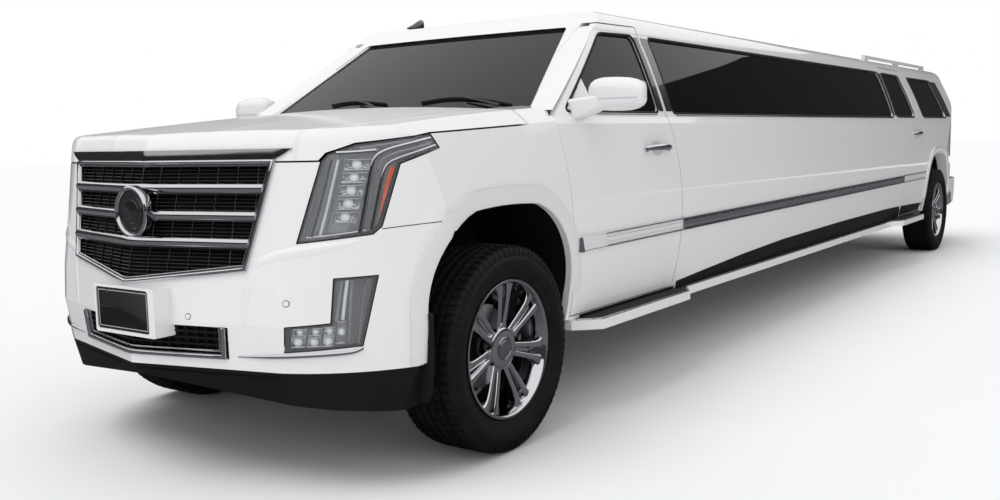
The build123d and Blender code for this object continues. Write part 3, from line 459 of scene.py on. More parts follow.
class Kind(Enum):
    """The finishes of the car, each with the record's material slot that it takes."""

    WHITE = (Paint("white_lacquer", (0.86, 0.86, 0.855)), "paint")
    HOOD = (CreasedPaint("hood_lacquer", (0.86, 0.86, 0.855)), "paint")
    PIANO = (Paint("piano_black", (0.008, 0.008, 0.009), 0.2), "black_plastic")
    CHROME = (Metal("bright_chrome", (0.68, 0.69, 0.71)), "chrome")
    DARK_CHROME = (Metal("smoked_chrome", (0.42, 0.43, 0.45), 0.09), "chrome")
    BRUSHED = (Metal("brushed_strip", (0.52, 0.53, 0.55), 0.24, (1.0, 0.02, 1.0)), "rail_metal")
    CAST = (Metal("cast_aluminium", (0.36, 0.36, 0.37), 0.42, (1.0, 1.0, 1.0)), "engine_metal")
    PIPE = (Metal("dull_steel", (0.4, 0.38, 0.36), 0.36, (1.0, 0.3, 1.0)), "exhaust_steel")
    DISC = (Metal("turned_steel", (0.42, 0.42, 0.43), 0.3, (0.2, 1.0, 1.0)), "frame_steel")
    BLACK = (Plastic("grained_black", (0.008, 0.008, 0.0085), 0.55), "black_plastic")
    SATIN = (Plastic("satin_black", (0.01, 0.01, 0.011), 0.32, 0.00004, 500.0), "black_plastic")
    TRIM = (Plastic("soft_grain_trim", (0.035, 0.034, 0.034), 0.6, 0.0003, 380.0), "trim")
    CHASSIS = (Plastic("chassis_black", (0.03, 0.03, 0.031), 0.55, 0.0004, 160.0), "frame_steel")
    TYRE = (Rubber("tyre_rubber"), "tyre")
    SEAL = (Rubber("seal_rubber", (0.012, 0.012, 0.013), 0.5), "black_plastic")
    TINT = (Glass("privacy_glass", (0.004, 0.0042, 0.0045), 0.975), "glass")
    SCREEN = (Glass("screen_glass", (0.007, 0.0075, 0.008), 0.955), "glass")
    CLEAR = (Lens("clear_cover", (0.82, 0.84, 0.86), 0.0, 0.1), "lamp")
    REFLECTOR = (Metal("lamp_reflector", (0.86, 0.87, 0.88), 0.1), "lamp")
    LED = (Lens("led_cell", (0.74, 0.76, 0.79), 0.12), "lamp")
    GUIDE = (Lens("light_guide", (0.66, 0.68, 0.7), 0.05, 1.0, 220.0), "lamp")
    AMBER = (Lens("amber_marker", (0.62, 0.1, 0.02), 0.04), "lamp")
    RED = (Lens("red_lens", (0.36, 0.012, 0.012), 0.03), "tail_lamp")
    LEATHER = (Leather("black_leather", (0.03, 0.028, 0.027)), "seat_leather")
    CARPET = (Carpet("floor_carpet", (0.03, 0.03, 0.032)), "trim")
    LINING = (Carpet("roof_lining", (0.3, 0.29, 0.27)), "trim")
    LAMP_BACK = (Plastic("lamp_back", (0.36, 0.365, 0.37), 0.22, 0.00004, 300.0), "lamp")
    BAND = (Metal("band_chrome", (0.36, 0.365, 0.37), 0.12), "chrome")
    SMOKE = (Plastic("smoked_back", (0.05, 0.051, 0.052), 0.2, 0.00004, 300.0), "lamp")
    CRYSTAL = (Facets("lamp_crystal", (0.66, 0.67, 0.69)), "lamp")
    PALE = (Plastic("pale_line", (0.42, 0.42, 0.43), 0.4, 0.00002, 500.0), "black_plastic")
    # A copy of the white lacquer painted a shade darker, as painted shade on tilted bands.
    FLARE = (Paint("shaded_white_lacquer", (0.77, 0.77, 0.765), 0.32), "paint")
    # Body colour painted darker, standing in for the shade in a handle's recess.
    CUP_SHADE = (Paint("handle_cup_shade_lacquer", (0.64, 0.64, 0.64), 0.35), "paint")
    CHROME_TOP = (Metal("worktop_steel", (0.62, 0.62, 0.63), 0.16, (1.0, 0.05, 1.0)), "chrome")

    def __init__(self, finish: Finish, slot: str) -> None:
        self.finish = finish
        self.slot = slot


_MADE: dict[Kind, bpy.types.Material] = {}


def material(kind: Kind) -> bpy.types.Material:
    """The material of a finish, made once."""
    if kind not in _MADE:
        _MADE[kind] = kind.finish.material()
    return _MADE[kind]


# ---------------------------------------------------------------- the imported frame
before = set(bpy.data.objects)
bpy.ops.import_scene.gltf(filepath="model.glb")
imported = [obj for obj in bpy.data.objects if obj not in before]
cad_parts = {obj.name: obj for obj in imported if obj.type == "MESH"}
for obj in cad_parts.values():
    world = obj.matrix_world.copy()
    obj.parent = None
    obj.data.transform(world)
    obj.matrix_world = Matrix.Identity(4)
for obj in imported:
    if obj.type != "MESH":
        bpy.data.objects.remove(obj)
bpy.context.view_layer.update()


class Look(Enum):
    """A direction that outlines are drawn in. Each holds the two drawn axes and the outward way."""

    SIDE = ((0.0, 1.0, 0.0), (0.0, 0.0, 1.0), (1.0, 0.0, 0.0))
    FRONT = ((1.0, 0.0, 0.0), (0.0, 0.0, 1.0), (0.0, -1.0, 0.0))
    REAR = ((1.0, 0.0, 0.0), (0.0, 0.0, 1.0), (0.0, 1.0, 0.0))
    TOP = ((1.0, 0.0, 0.0), (0.0, 1.0, 0.0), (0.0, 0.0, 1.0))
    INSIDE = ((0.0, 1.0, 0.0), (0.0, 0.0, 1.0), (-1.0, 0.0, 0.0))
    BELOW = ((1.0, 0.0, 0.0), (0.0, 1.0, 0.0), (0.0, 0.0, -1.0))
    CORNER = ((HALF_ROOT, HALF_ROOT, 0.0), (0.0, 0.0, 1.0), (HALF_ROOT, -HALF_ROOT, 0.0))

    def __init__(self, first: Flat3, second: Flat3, out: Flat3) -> None:
        self.first = Vector(first)
        self.second = Vector(second)
        self.out = Vector(out)

    def point(self, a: float, b: float) -> Vector:
        """A drawn point on the plane through the frame's origin, or through the front axle for a corner."""
        start = Vector((0.0, FRONT_AXLE_Y, 0.0)) if self is Look.CORNER else Vector()
        return start + self.first * a + self.second * b


@dataclass
class Shape:
    """Vertices and faces of a piece being made."""

    points: list[Vector] = field(default_factory=list)
    faces: Faces = field(default_factory=list)

    def join(self, other: "Shape") -> "Shape":
        """Adds another shape to this one."""
        base = len(self.points)
        self.points += [point.copy() for point in other.points]
        self.faces += [tuple(base + index for index in face) for face in other.faces]
        return self

    def mirrored(self) -> "Shape":
        """The same shape on the -X side."""
        flipped = [Vector((-point.x, point.y, point.z)) for point in self.points]
        return Shape(flipped, [tuple(reversed(face)) for face in self.faces])

    def moved(self, matrix: Matrix) -> "Shape":
        """The shape under a transform."""
        return Shape([matrix @ point for point in self.points], list(self.faces))


def together(shapes: Iterable[Shape]) -> Shape:
    """One shape of several."""
    whole = Shape()
    for shape in shapes:
        whole.join(shape)
    return whole


def grid(rows: Sequence[Sequence[Vector]], ring: bool = False, loop: bool = False, caps: bool = False) -> Shape:
    """Skin of quads over rows of points.

    Args:
        rows: rows with the same number of points.
        ring: whether each row closes on itself.
        loop: whether the last row joins the first.
        caps: whether the first and last rows are filled.

    Returns:
        The skin.
    """
    width = len(rows[0])
    faces: Faces = []
    for i in range(len(rows) if loop else len(rows) - 1):
        low, high = i * width, ((i + 1) % len(rows)) * width
        for j in range(width if ring else width - 1):
            k = (j + 1) % width
            faces.append((low + j, low + k, high + k, high + j))
    if caps:
        faces.append(tuple(reversed(range(width))))
        faces.append(tuple(range((len(rows) - 1) * width, len(rows) * width)))
    return Shape([Vector(point) for row in rows for point in row], faces)


def inside(outline: Sequence[Flat], x: float, y: float) -> bool:
    """Whether a flat point is inside a closed outline."""
    within = False
    for (x0, y0), (x1, y1) in zip(outline, [*outline[1:], outline[0]]):
        if (y0 > y) != (y1 > y) and x < (x1 - x0) * (y - y0) / (y1 - y0) + x0:
            within = not within
    return within


def dense(outline: Sequence[Flat], spacing: float, closed: bool = True) -> list[Flat]:
    """An outline with points no further apart than spacing."""
    pairs = zip(outline, [*outline[1:], outline[0]]) if closed else zip(outline[:-1], outline[1:])
    result: list[Flat] = []
    for (x0, y0), (x1, y1) in pairs:
        count = max(1, math.ceil(math.hypot(x1 - x0, y1 - y0) / spacing))
        result += [(x0 + (x1 - x0) * k / count, y0 + (y1 - y0) * k / count) for k in range(count)]
    return result if closed else [*result, outline[-1]]


def curve(points: Sequence[Flat], count: int = 6) -> list[Flat]:
    """A smooth flat line through points, with count steps between each two."""
    ends = [points[0], *points, points[-1]]
    result: list[Flat] = []
    for i in range(1, len(ends) - 2):
        for k in range(count):
            t = k / count
            result.append(tuple(
                0.5 * (2 * ends[i][n] + (ends[i + 1][n] - ends[i - 1][n]) * t
                       + (2 * ends[i - 1][n] - 5 * ends[i][n] + 4 * ends[i + 1][n] - ends[i + 2][n]) * t * t
                       + (3 * ends[i][n] - ends[i - 1][n] - 3 * ends[i + 1][n] + ends[i + 2][n]) * t ** 3)
                for n in range(len(points[0]))))
    return [*result, points[-1]]


def round_corners(outline: Sequence[Flat], radius: float, count: int = 5) -> list[Flat]:
    """A closed outline with its corners cut by curves of about that radius."""
    result: list[Flat] = []
    total = len(outline)
    for i, corner in enumerate(outline):
        here = Vector(corner)
        before, after = Vector(outline[i - 1]) - here, Vector(outline[(i + 1) % total]) - here
        reach = min(radius, before.length * 0.45, after.length * 0.45)
        start, end = here + before.normalized() * reach, here + after.normalized() * reach
        for k in range(count + 1):
            t = k / count
            point = start * (1 - t) ** 2 + here * 2 * t * (1 - t) + end * t * t
            result.append((point.x, point.y))
    return result


def tiled(
    outline: Sequence[Flat], spacing: float, holes: Sequence[Sequence[Flat]],
) -> tuple[list[Vector], Faces, list[Vector]]:
    """Triangles over a flat outline.

    Args:
        outline: closed outline.
        spacing: largest distance between points.
        holes: closed outlines left open.

    Returns:
        The flat points, the faces over them and the points of the borders alone.
    """
    edge = dense(outline, spacing)
    loops = [edge] + [dense(hole, spacing) for hole in holes]
    flats: list[Flat] = []
    lines: list[Flat] = []
    for points in loops:
        first, count = len(flats), len(points)
        lines += [(first + k, first + (k + 1) % count) for k in range(count)]
        flats += points
    border = [Vector(flat) for flat in flats]
    low = [min(point[n] for point in edge) for n in (0, 1)]
    high = [max(point[n] for point in edge) for n in (0, 1)]
    for i in range(1, int((high[0] - low[0]) / spacing) + 1):
        for j in range(1, int((high[1] - low[1]) / spacing) + 1):
            spot = (low[0] + (i - 0.5 * (j % 2)) * spacing, low[1] + j * spacing)
            near = min(math.hypot(spot[0] - p[0], spot[1] - p[1]) for p in flats[:len(border)])
            if near > spacing * 0.45 and inside(edge, *spot):
                flats.append(spot)
    spots, _, cells, *_ = delaunay_2d_cdt([Vector(flat) for flat in flats], lines, [], 0, 1e-7)
    kept = []
    for cell in cells:
        middle = sum((Vector(spots[index]) for index in cell), Vector((0.0, 0.0))) / len(cell)
        if inside(edge, *middle) and not any(inside(hole, *middle) for hole in loops[1:]):
            kept.append(cell)
    used = sorted({index for cell in kept for index in cell})
    order = {old: new for new, old in enumerate(used)}
    faces = [tuple(order[index] for index in cell) for cell in kept]
    return [Vector(spots[index]) for index in used], faces, border


def sweep(
    path: Sequence[Vector], ups: Sequence[Vector], profile: Sequence[Flat], closed: bool = False,
    sizes: Sequence[float] = (),
) -> Shape:
    """Bar of one cross-section along a path, mitred at its corners.

    Args:
        path: points of the path.
        ups: the outward way at each point.
        profile: (sideways, outward) points of the section, in order round it.
        closed: whether the path joins up.
        sizes: a scale of the section at each point.

    Returns:
        A closed shape.
    """
    total = len(path)
    rows: list[list[Vector]] = []
    for i, here in enumerate(path):
        before = path[i - 1] if closed or i > 0 else None
        after = path[(i + 1) % total] if closed or i < total - 1 else None
        came = (here - before).normalized() if before is not None else (after - here).normalized()
        goes = (after - here).normalized() if after is not None else came
        side_in, side_out = came.cross(ups[i]).normalized(), goes.cross(ups[i]).normalized()
        across = (side_in + side_out).normalized()
        stretch = 1.0 / max(0.35, across.dot(side_in))
        way = (came + goes).normalized()
        out = across.cross(way).normalized()
        size = sizes[i] if sizes else 1.0
        rows.append([here + across * (s * size * stretch) + out * (o * size) for s, o in profile])
    return grid(rows, ring=True, loop=closed, caps=not closed)


class Skin:
    """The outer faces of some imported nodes, met by straight rays along one look."""

    def __init__(self, look: Look, *names: str) -> None:
        self.look = look
        points: list[Vector] = []
        faces: Faces = []
        for name in names:
            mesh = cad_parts[name].data
            base = len(points)
            points += [vertex.co.copy() for vertex in mesh.vertices]
            faces += [tuple(base + index for index in face.vertices) for face in mesh.polygons]
        self.tree = BVHTree.FromPolygons(points, faces)

    def meet(self, a: float, b: float) -> tuple[Vector, Vector]:
        """Where a drawn point lands on the car.

        Args:
            a: first drawn axis.
            b: second drawn axis.

        Returns:
            The point and the outward normal there.
        """
        drawn, out = self.look.point(a, b), self.look.out
        hit, normal, _, _ = self.tree.ray_cast(drawn + out * FAR, -out)
        if hit is None:
            hit, normal, _, _ = self.tree.find_nearest(drawn + out * NEAR)
        return hit, -normal if normal.dot(out) < 0.0 else normal

    def panel(
        self, outline: Sequence[Flat], lift: float, thick: float, spacing: float = 0.03,
        holes: Sequence[Sequence[Flat]] = (), dome: float = 0.0,
    ) -> Shape:
        """Plate of any outline that follows the car's surface.

        Args:
            outline: closed drawn outline.
            lift: how far its face stands proud of the surface.
            thick: its thickness, measured back from the face.
            spacing: largest distance between its points.
            holes: closed outlines left open.
            dome: extra lift in the middle, falling to nothing at the edge.

        Returns:
            A closed shape.
        """
        out = self.look.out
        spots, faces, border = tiled(outline, spacing, holes)
        bases = [self.meet(*spot)[0] for spot in spots]
        crowns = [0.0] * len(spots)
        if dome:
            reach = [min((spot - point).length for point in border) for spot in spots]
            most = max(*reach, MM * 0.1)
            crowns = [dome * math.sin(0.5 * math.pi * value / most) for value in reach]
        front = [base + out * (lift + crown) for base, crown in zip(bases, crowns)]
        back = [base + out * (lift - thick) for base in bases]
        first = faces[0]
        turn = (front[first[1]] - front[first[0]]).cross(front[first[2]] - front[first[0]])
        if turn.dot(out) < 0.0:
            faces = [tuple(reversed(face)) for face in faces]
        count = len(front)
        sides = dict.fromkeys(edge for face in faces for edge in zip(face, [*face[1:], face[0]]))
        walls = [(b, a, a + count, b + count) for a, b in sides if (b, a) not in sides]
        backs = [tuple(index + count for index in reversed(face)) for face in faces]
        return Shape(front + back, faces + backs + walls)

    def strip(
        self, line: Sequence[Flat], profile: Sequence[Flat], lift: float = 0.0, spacing: float = 0.05,
        closed: bool = False, flat_up: bool = False, sizes: Sequence[float] = (),
    ) -> Shape:
        """Moulding of one cross-section that follows a line drawn on the car.

        Args:
            line: drawn line.
            profile: (sideways, outward) section.
            lift: how far the section's zero stands off the surface.
            spacing: largest distance between its points.
            closed: whether the line joins up.
            flat_up: whether the section stands along the drawing's way, not the surface's normal.
            sizes: a scale of the section at both ends of the line and between them.

        Returns:
            A closed shape.
        """
        met = [self.meet(*flat) for flat in dense(line, spacing, closed)]
        ups = []
        for i in range(len(met)):
            near = [met[j][1] for j in range(max(0, i - 2), min(len(met), i + 3))]
            ups.append(self.look.out.copy() if flat_up else sum(near, Vector()).normalized())
        path = [base + up * lift for (base, _), up in zip(met, ups)]
        scales = [1.0] * len(path)
        if sizes:
            steps = len(sizes) - 1
            for i in range(len(path)):
                at = i / max(1, len(path) - 1) * steps
                k = min(int(at), steps - 1)
                scales[i] = sizes[k] + (sizes[k + 1] - sizes[k]) * (at - k)
        return sweep(path, ups, profile, closed, scales)


def lathe(profile: Sequence[Flat], count: int = 64, caps: bool = False) -> Shape:
    """Solid of revolution about the X axis from (x, radius) points, closed on itself unless capped."""
    rows = []
    for k in range(count):
        turn = 2 * math.pi * k / count
        rows.append([Vector((x, r * math.cos(turn), r * math.sin(turn))) for x, r in profile])
    made = grid(rows, ring=not caps, loop=True)
    if caps:
        width = len(profile)
        made.faces.append(tuple(k * width for k in range(count)))
        made.faces.append(tuple(reversed([k * width + width - 1 for k in range(count)])))
    return made


def ellipse(x: float, y: float, wide: float, high: float, count: int) -> list[Flat]:
    """Closed ellipse round a flat point, from its two half axes."""
    turns = [2 * math.pi * k / count for k in range(count)]
    return [(x + wide * math.cos(turn), y + high * math.sin(turn)) for turn in turns]


def oval(width: float, height: float, count: int = 12) -> list[Flat]:
    """Closed oval section."""
    return ellipse(0.0, 0.0, width / 2, -height / 2, count)


def tube(path: Sequence[Flat3], radius: float, count: int = 10, up: Flat3 = (0.0, 0.0, 1.0)) -> Shape:
    """Round bar along a path."""
    around = ellipse(0.0, 0.0, radius, radius, count)[::-1]
    return sweep([Vector(point) for point in path], [Vector(up)] * len(path), around)


def solid(rows: Sequence[Sequence[Vector]]) -> Shape:
    """Closed solid skinned over rings of points."""
    return grid(rows, ring=True, caps=True)


def facing(outline: Iterable[Flat], y: float) -> list[Vector]:
    """A front-view outline stood up at a place along the car."""
    return [Vector((x, y, z)) for x, z in outline]


def placed(x: float, y: float, z: float) -> Matrix:
    """The move to a place."""
    return Matrix.Translation((x, y, z))


def turned(axis: str, degrees: float) -> Matrix:
    """The turn about an axis."""
    return Matrix.Rotation(math.radians(degrees), 4, axis)


def brick(low: Sequence[float], high: Sequence[float], chamfer: float = 0.0) -> Shape:
    """Box between two corners with all its edges cut by a chamfer."""
    middle = (Vector(low) + Vector(high)) / 2
    half = (Vector(high) - Vector(low)) / 2
    c = min(chamfer, *(part * 0.9 for part in half))
    rows = []
    for z, shrink in ((-half.z, c), (-half.z + c, 0.0), (half.z - c, 0.0), (half.z, c)):
        x, y = half.x - shrink, half.y - shrink
        k = max(c, 1e-5)
        ring = [
            (x, -y + k), (x, y - k), (x - k, y), (-x + k, y), (-x, y - k), (-x, -y + k), (-x + k, -y),
            (x - k, -y),
        ]
        rows.append([middle + Vector((a, b, z)) for a, b in ring])
    return solid(rows)


def bead(width: float, height: float) -> list[Flat]:
    """Section of a moulding: flat below and round above."""
    half = width / 2
    crown = [(half * math.cos(math.pi * k / 6), height * math.sin(math.pi * k / 6) ** 0.8) for k in range(7)]
    return [(half, -0.003), *crown, (-half, -0.003)][::-1]


def piece(
    name: str, shape: Shape, kind: Kind, body: str = "body", replaces: Sequence[str] = (),
    bevel: float = 0.0, angle: float = 35.0,
) -> bpy.types.Object:
    """Makes one piece that rides on one of the car's bodies.

    Args:
        name: the piece's name.
        shape: its vertices and faces.
        kind: its finish.
        body: the body it rides on.
        replaces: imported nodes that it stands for.
        bevel: width of a bevel on its sharp edges.
        angle: edges sharper than this many degrees stay crisp.

    Returns:
        The object.
    """
    mesh = bpy.data.meshes.new(name)
    mesh.from_pydata([tuple(point) for point in shape.points], [], shape.faces)
    mesh.validate()
    shell = bmesh.new()
    shell.from_mesh(mesh)
    bmesh.ops.recalc_face_normals(shell, faces=shell.faces)
    shell.to_mesh(mesh)
    shell.free()
    mesh.materials.append(material(kind))
    mesh.shade_smooth()
    mesh.set_sharp_from_angle(angle=math.radians(angle))
    made = bpy.data.objects.new(name, mesh)
    bpy.context.scene.collection.objects.link(made)
    if bevel:
        cut = made.modifiers.new("edge", "BEVEL")
        cut.width, cut.segments, cut.limit_method = bevel, 2, "ANGLE"
        cut.angle_limit = math.radians(40.0)
    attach(made, body)
    if replaces:
        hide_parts(*replaces)
    LOG.info("piece %s on %s: %d faces", name, body, len(mesh.polygons))
    return made


def pair(
    name: str, shape: Shape, kind: Kind, body: str = "body", replaces: Sequence[str] = (), **options: float,
) -> bpy.types.Object:
    """Makes a left piece and its twin on the right.

    Args:
        name: the left piece's name, which holds "left".
        shape: the left piece.
        kind: its finish.
        body: the body the left piece rides on.
        replaces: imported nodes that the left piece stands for.
        options: further arguments of piece.

    Returns:
        The left object.
    """
    made = piece(name, shape, kind, body, replaces, **options)
    others = tuple(node.replace("left", "right") for node in replaces)
    name, body = name.replace("left", "right"), body.replace("left", "right")
    piece(name, shape.mirrored(), kind, body, others, **options)
    return made


# ---------------------------------------------------------------- flat drawing aids
def arc(start: Flat, via: Flat, end: Flat, count: int = 12) -> list[Flat]:
    """Points of the arc through three flat points, without its end."""
    (ax, ay), (bx, by), (cx, cy) = start, via, end
    scale = 2 * (ax * (by - cy) + bx * (cy - ay) + cx * (ay - by))
    a2, b2, c2 = ax * ax + ay * ay, bx * bx + by * by, cx * cx + cy * cy
    mx = (a2 * (by - cy) + b2 * (cy - ay) + c2 * (ay - by)) / scale
    my = (a2 * (cx - bx) + b2 * (ax - cx) + c2 * (bx - ax)) / scale
    radius = math.hypot(ax - mx, ay - my)
    first, last = math.atan2(ay - my, ax - mx), math.atan2(cy - my, cx - mx)
    middle = math.atan2(by - my, bx - mx)
    sweep_on = (last - first) % (2 * math.pi)
    if (middle - first) % (2 * math.pi) > sweep_on:
        sweep_on -= 2 * math.pi
    turns = [first + sweep_on * k / count for k in range(count)]
    return [(mx + radius * math.cos(turn), my + radius * math.sin(turn)) for turn in turns]


def inset(outline: Sequence[Flat], amount: float) -> list[Flat]:
    """A closed outline moved in by amount on every side."""
    area = sum(x0 * y1 - x1 * y0 for (x0, y0), (x1, y1) in zip(outline, [*outline[1:], outline[0]]))
    turn = 1.0 if area > 0 else -1.0
    result = []
    for i, here in enumerate(outline):
        before, after = outline[i - 1], outline[(i + 1) % len(outline)]
        came = Vector((here[0] - before[0], here[1] - before[1])).normalized()
        goes = Vector((after[0] - here[0], after[1] - here[1])).normalized()
        normals = Vector((-came.y, came.x)) * turn, Vector((-goes.y, goes.x)) * turn
        middle = (normals[0] + normals[1]).normalized()
        reach = amount / max(0.3, middle.dot(normals[0]))
        result.append((here[0] + middle.x * reach, here[1] + middle.y * reach))
    return result


def scaled(points: Iterable[Flat]) -> list[Flat]:
    """Points drawn in millimetres, in metres."""
    return [(a * MM, b * MM) for a, b in points]


def round_box(x0: float, y0: float, x1: float, y1: float, radius: float, count: int = 5) -> list[Flat]:
    """Outline of a flat box with round corners."""
    return round_corners([(x0, y0), (x1, y0), (x1, y1), (x0, y1)], radius, count)


def slab(half: float, low: float, high: float) -> list[Flat]:
    """Plain section of a moulding between two heights."""
    return [(-half, low), (-half, high), (half, high), (half, low)]


class NoseForm(Skin):
    """The blunt V of the nose as plain sums, for pieces that span its openings."""

    # Height, then how far behind the axle the tip lies, the half width and its place there.
    rows = (
        (0.18, -0.905, 0.6, -0.77), (0.44, -0.984, 0.61, -0.83), (0.6, -0.992, 0.62, -0.848),
        (0.735, -0.988, 0.62, -0.838), (1.215, -0.868, 0.62, -0.758), (1.45, -0.8, 0.62, -0.69),
    )

    def __init__(self) -> None:
        self.look = Look.FRONT
        self.blunt = 0.02

    def depth(self, x: float, z: float) -> float:
        """y of the nose at a place in front view."""
        at = next((n for n, row in enumerate(self.rows[1:-1]) if z <= row[0]), len(self.rows) - 2)
        low, high = self.rows[at], self.rows[at + 1]
        t = (z - low[0]) / (high[0] - low[0])
        tip, wide, shoulder = (low[n] + (high[n] - low[n]) * t for n in (1, 2, 3))
        away = math.hypot(x, self.blunt) - self.blunt * 0.35
        return fa(tip + away / wide * (shoulder - tip))

    def meet(self, a: float, b: float) -> tuple[Vector, Vector]:
        """Where a front-view point lands on the V.

        Args:
            a: x.
            b: z.

        Returns:
            The point and the outward normal there.
        """
        step = 0.004
        here = Vector((a, self.depth(a, b), b))
        across = Vector((2 * step, self.depth(a + step, b) - self.depth(a - step, b), 0.0))
        up = Vector((0.0, self.depth(a, b + step) - self.depth(a, b - step), 2 * step))
        return here, across.cross(up).normalized()


NOSE_SKIN = Skin(Look.FRONT, "hood", "front_bumper", "front_fenders", "headlamps", "fog_lamps")
SIDE_SKIN = Skin(
    Look.SIDE, "body_side_left", "front_door_left", "rear_door_left", "front_fenders", "front_bumper",
    "rear_bumper", "front_door_glass_left", "rear_door_glass_left", "side_glass", "tail_lamps",
)
V_FORM = NoseForm()


# ---------------------------------------------------------------- front end
@dataclass
class Grille:
    """Chrome-barred grille bent to the nose's V, with its mesh, top bar and bare round boss."""

    outline: tuple[Flat, ...] = ((-0.575, 1.16), (0.575, 1.16), (0.498, 0.786), (0.0, 0.728), (-0.498, 0.786))
    bar_heights: tuple[float, ...] = (1.062, 0.968, 0.876)
    bar_height: float = 0.04
    slat_pitch: float = 0.0125
    pin_pitch: float = 0.085
    pins_a_side: int = 6
    boss: Flat3 = (0.0, -0.956, 0.981)
    boss_r: float = 0.095

    def half_width(self, z: float) -> float:
        """Half of the opening's width at a height."""
        (_, top), (wide, _), (narrow, low), (_, foot), _ = self.outline
        if z >= low:
            return narrow + (wide - narrow) * (z - low) / (top - low)
        return narrow * max(0.0, (z - foot) / (low - foot))

    def across(self, z: float, spare: float, step: float = 0.06) -> list[Flat]:
        """Line from side to side of the opening at a height."""
        half = self.half_width(z) - spare
        count = max(2, int(half / step))
        right = [(half * k / count, z) for k in range(count + 1)]
        return [(-x, z) for x, _ in reversed(right[1:])] + right

    def bars(self) -> Shape:
        """Three convex bars, each with a fine step along its lower edge."""
        h = self.bar_height / 2
        section = [
            (-h, -0.012), (-h, 0.004), (-h + 0.003, 0.01), (-h + 0.01, 0.0155), (-0.002, 0.018),
            (h - 0.012, 0.016),
            (h - 0.007, 0.011), (h - 0.0065, 0.008), (h - 0.001, 0.0075), (h, 0.004), (h, -0.012),
        ]
        return together(V_FORM.strip(self.across(z, 0.012), section, spacing=0.04) for z in self.bar_heights)

    def frame(self) -> Shape:
        """Two chrome lines round the opening."""
        outer = V_FORM.strip(inset(self.outline, 0.006), bead(0.017, 0.011), 0.001, 0.05, closed=True)
        inner = V_FORM.strip(inset(self.outline, 0.019), bead(0.006, 0.009), -0.004, 0.05, closed=True)
        return outer.join(inner)

    def mesh(self) -> Shape:
        """Fine slats behind the bars, tilted like louvres."""
        whole = Shape()
        top, foot = self.outline[0][1], self.outline[3][1]
        section = [(-0.0016, -0.02), (-0.0016, -0.006), (0.0016, -0.004), (0.003, -0.018)]
        count = int((top - foot) / self.slat_pitch)
        for k in range(1, count):
            z = foot + k * self.slat_pitch
            if self.half_width(z) > 0.05:
                whole.join(V_FORM.strip(self.across(z, 0.006, 0.1), section, spacing=0.1))
        return whole

    def pins(self) -> Shape:
        """Bright upright pins in front of the slats, from the opening's edge to the top line."""
        whole = Shape()
        _, (_, top), (wide, low), (_, foot), _ = self.outline
        for k in range(-self.pins_a_side, self.pins_a_side + 1):
            x = k * self.pin_pitch
            rise, steep = abs(x) / wide * (low - foot), 0.79 + (abs(x) - wide) * 4.9
            start = foot + rise if abs(x) < wide else steep
            line = [(x, start + 0.012), (x, top - 0.014)]
            whole.join(V_FORM.strip(line, oval(0.0042, 0.006, 8), -0.004, 0.06, flat_up=True))
        return whole

    def top_bar(self) -> Shape:
        """Wide chrome bar over the grille, on the hood's front edge."""
        outline = [
            (-0.566, 1.159), (0.566, 1.159), (0.604, 1.176), (0.64, 1.198), (-0.64, 1.198), (-0.604, 1.176),
        ]
        return Skin(Look.FRONT, "hood").panel(outline, 0.006, 0.012, 0.012, dome=0.002)

    def boss_pieces(self) -> tuple[Shape, Shape, Shape]:
        """Ring, bare dish and backing cup of the round boss."""
        r = self.boss_r
        hoop = [
            (0.0, r), (0.006, r - 0.001), (0.0105, r - 0.006), (0.0105, r - 0.011), (0.006, r - 0.016),
            (0.0, r - 0.018), (-0.02, r - 0.018), (-0.02, r),
        ]
        ring = lathe(hoop, 72)
        steps = [
            (-0.004, r - 0.016), (-0.001, r - 0.02), (-0.001, r - 0.034), (0.0015, r - 0.036),
            (0.0015, r - 0.052), (0.0035, r - 0.054), (0.006, 0.012), (0.0065, 0.0005),
        ]
        dish = lathe([*steps, (-0.012, 0.0005), (-0.012, r - 0.016)], 72)
        cup = lathe([(-0.018, r - 0.004), (-0.018, 0.03), (-0.05, 0.03), (-0.05, r - 0.03)], 48)
        place = placed(self.boss[0], fa(self.boss[1]) + 0.0105, self.boss[2]) @ turned("Z", -90.0)
        return ring.moved(place), dish.moved(place), cup.moved(place)

    def build(self) -> None:
        """Makes and dresses the grille."""
        piece("grille_bars", self.bars(), Kind.CHROME)
        piece("grille_frame_lines", self.frame(), Kind.CHROME)
        backing = V_FORM.panel(inset(self.outline, 0.004), -0.04, 0.006, 0.05)
        piece("grille_backing", backing, Kind.SATIN, replaces=("grille_mesh",))
        piece("grille_slats", self.mesh(), Kind.SATIN)
        piece("grille_pins", self.pins(), Kind.DARK_CHROME)
        piece("grille_top_bar", self.top_bar(), Kind.BAND, "hood")
        ring, dish, cup = self.boss_pieces()
        piece("boss_ring", ring, Kind.CHROME)
        piece("boss_dish", dish, Kind.PIANO)
        piece("boss_cup", cup, Kind.SATIN)


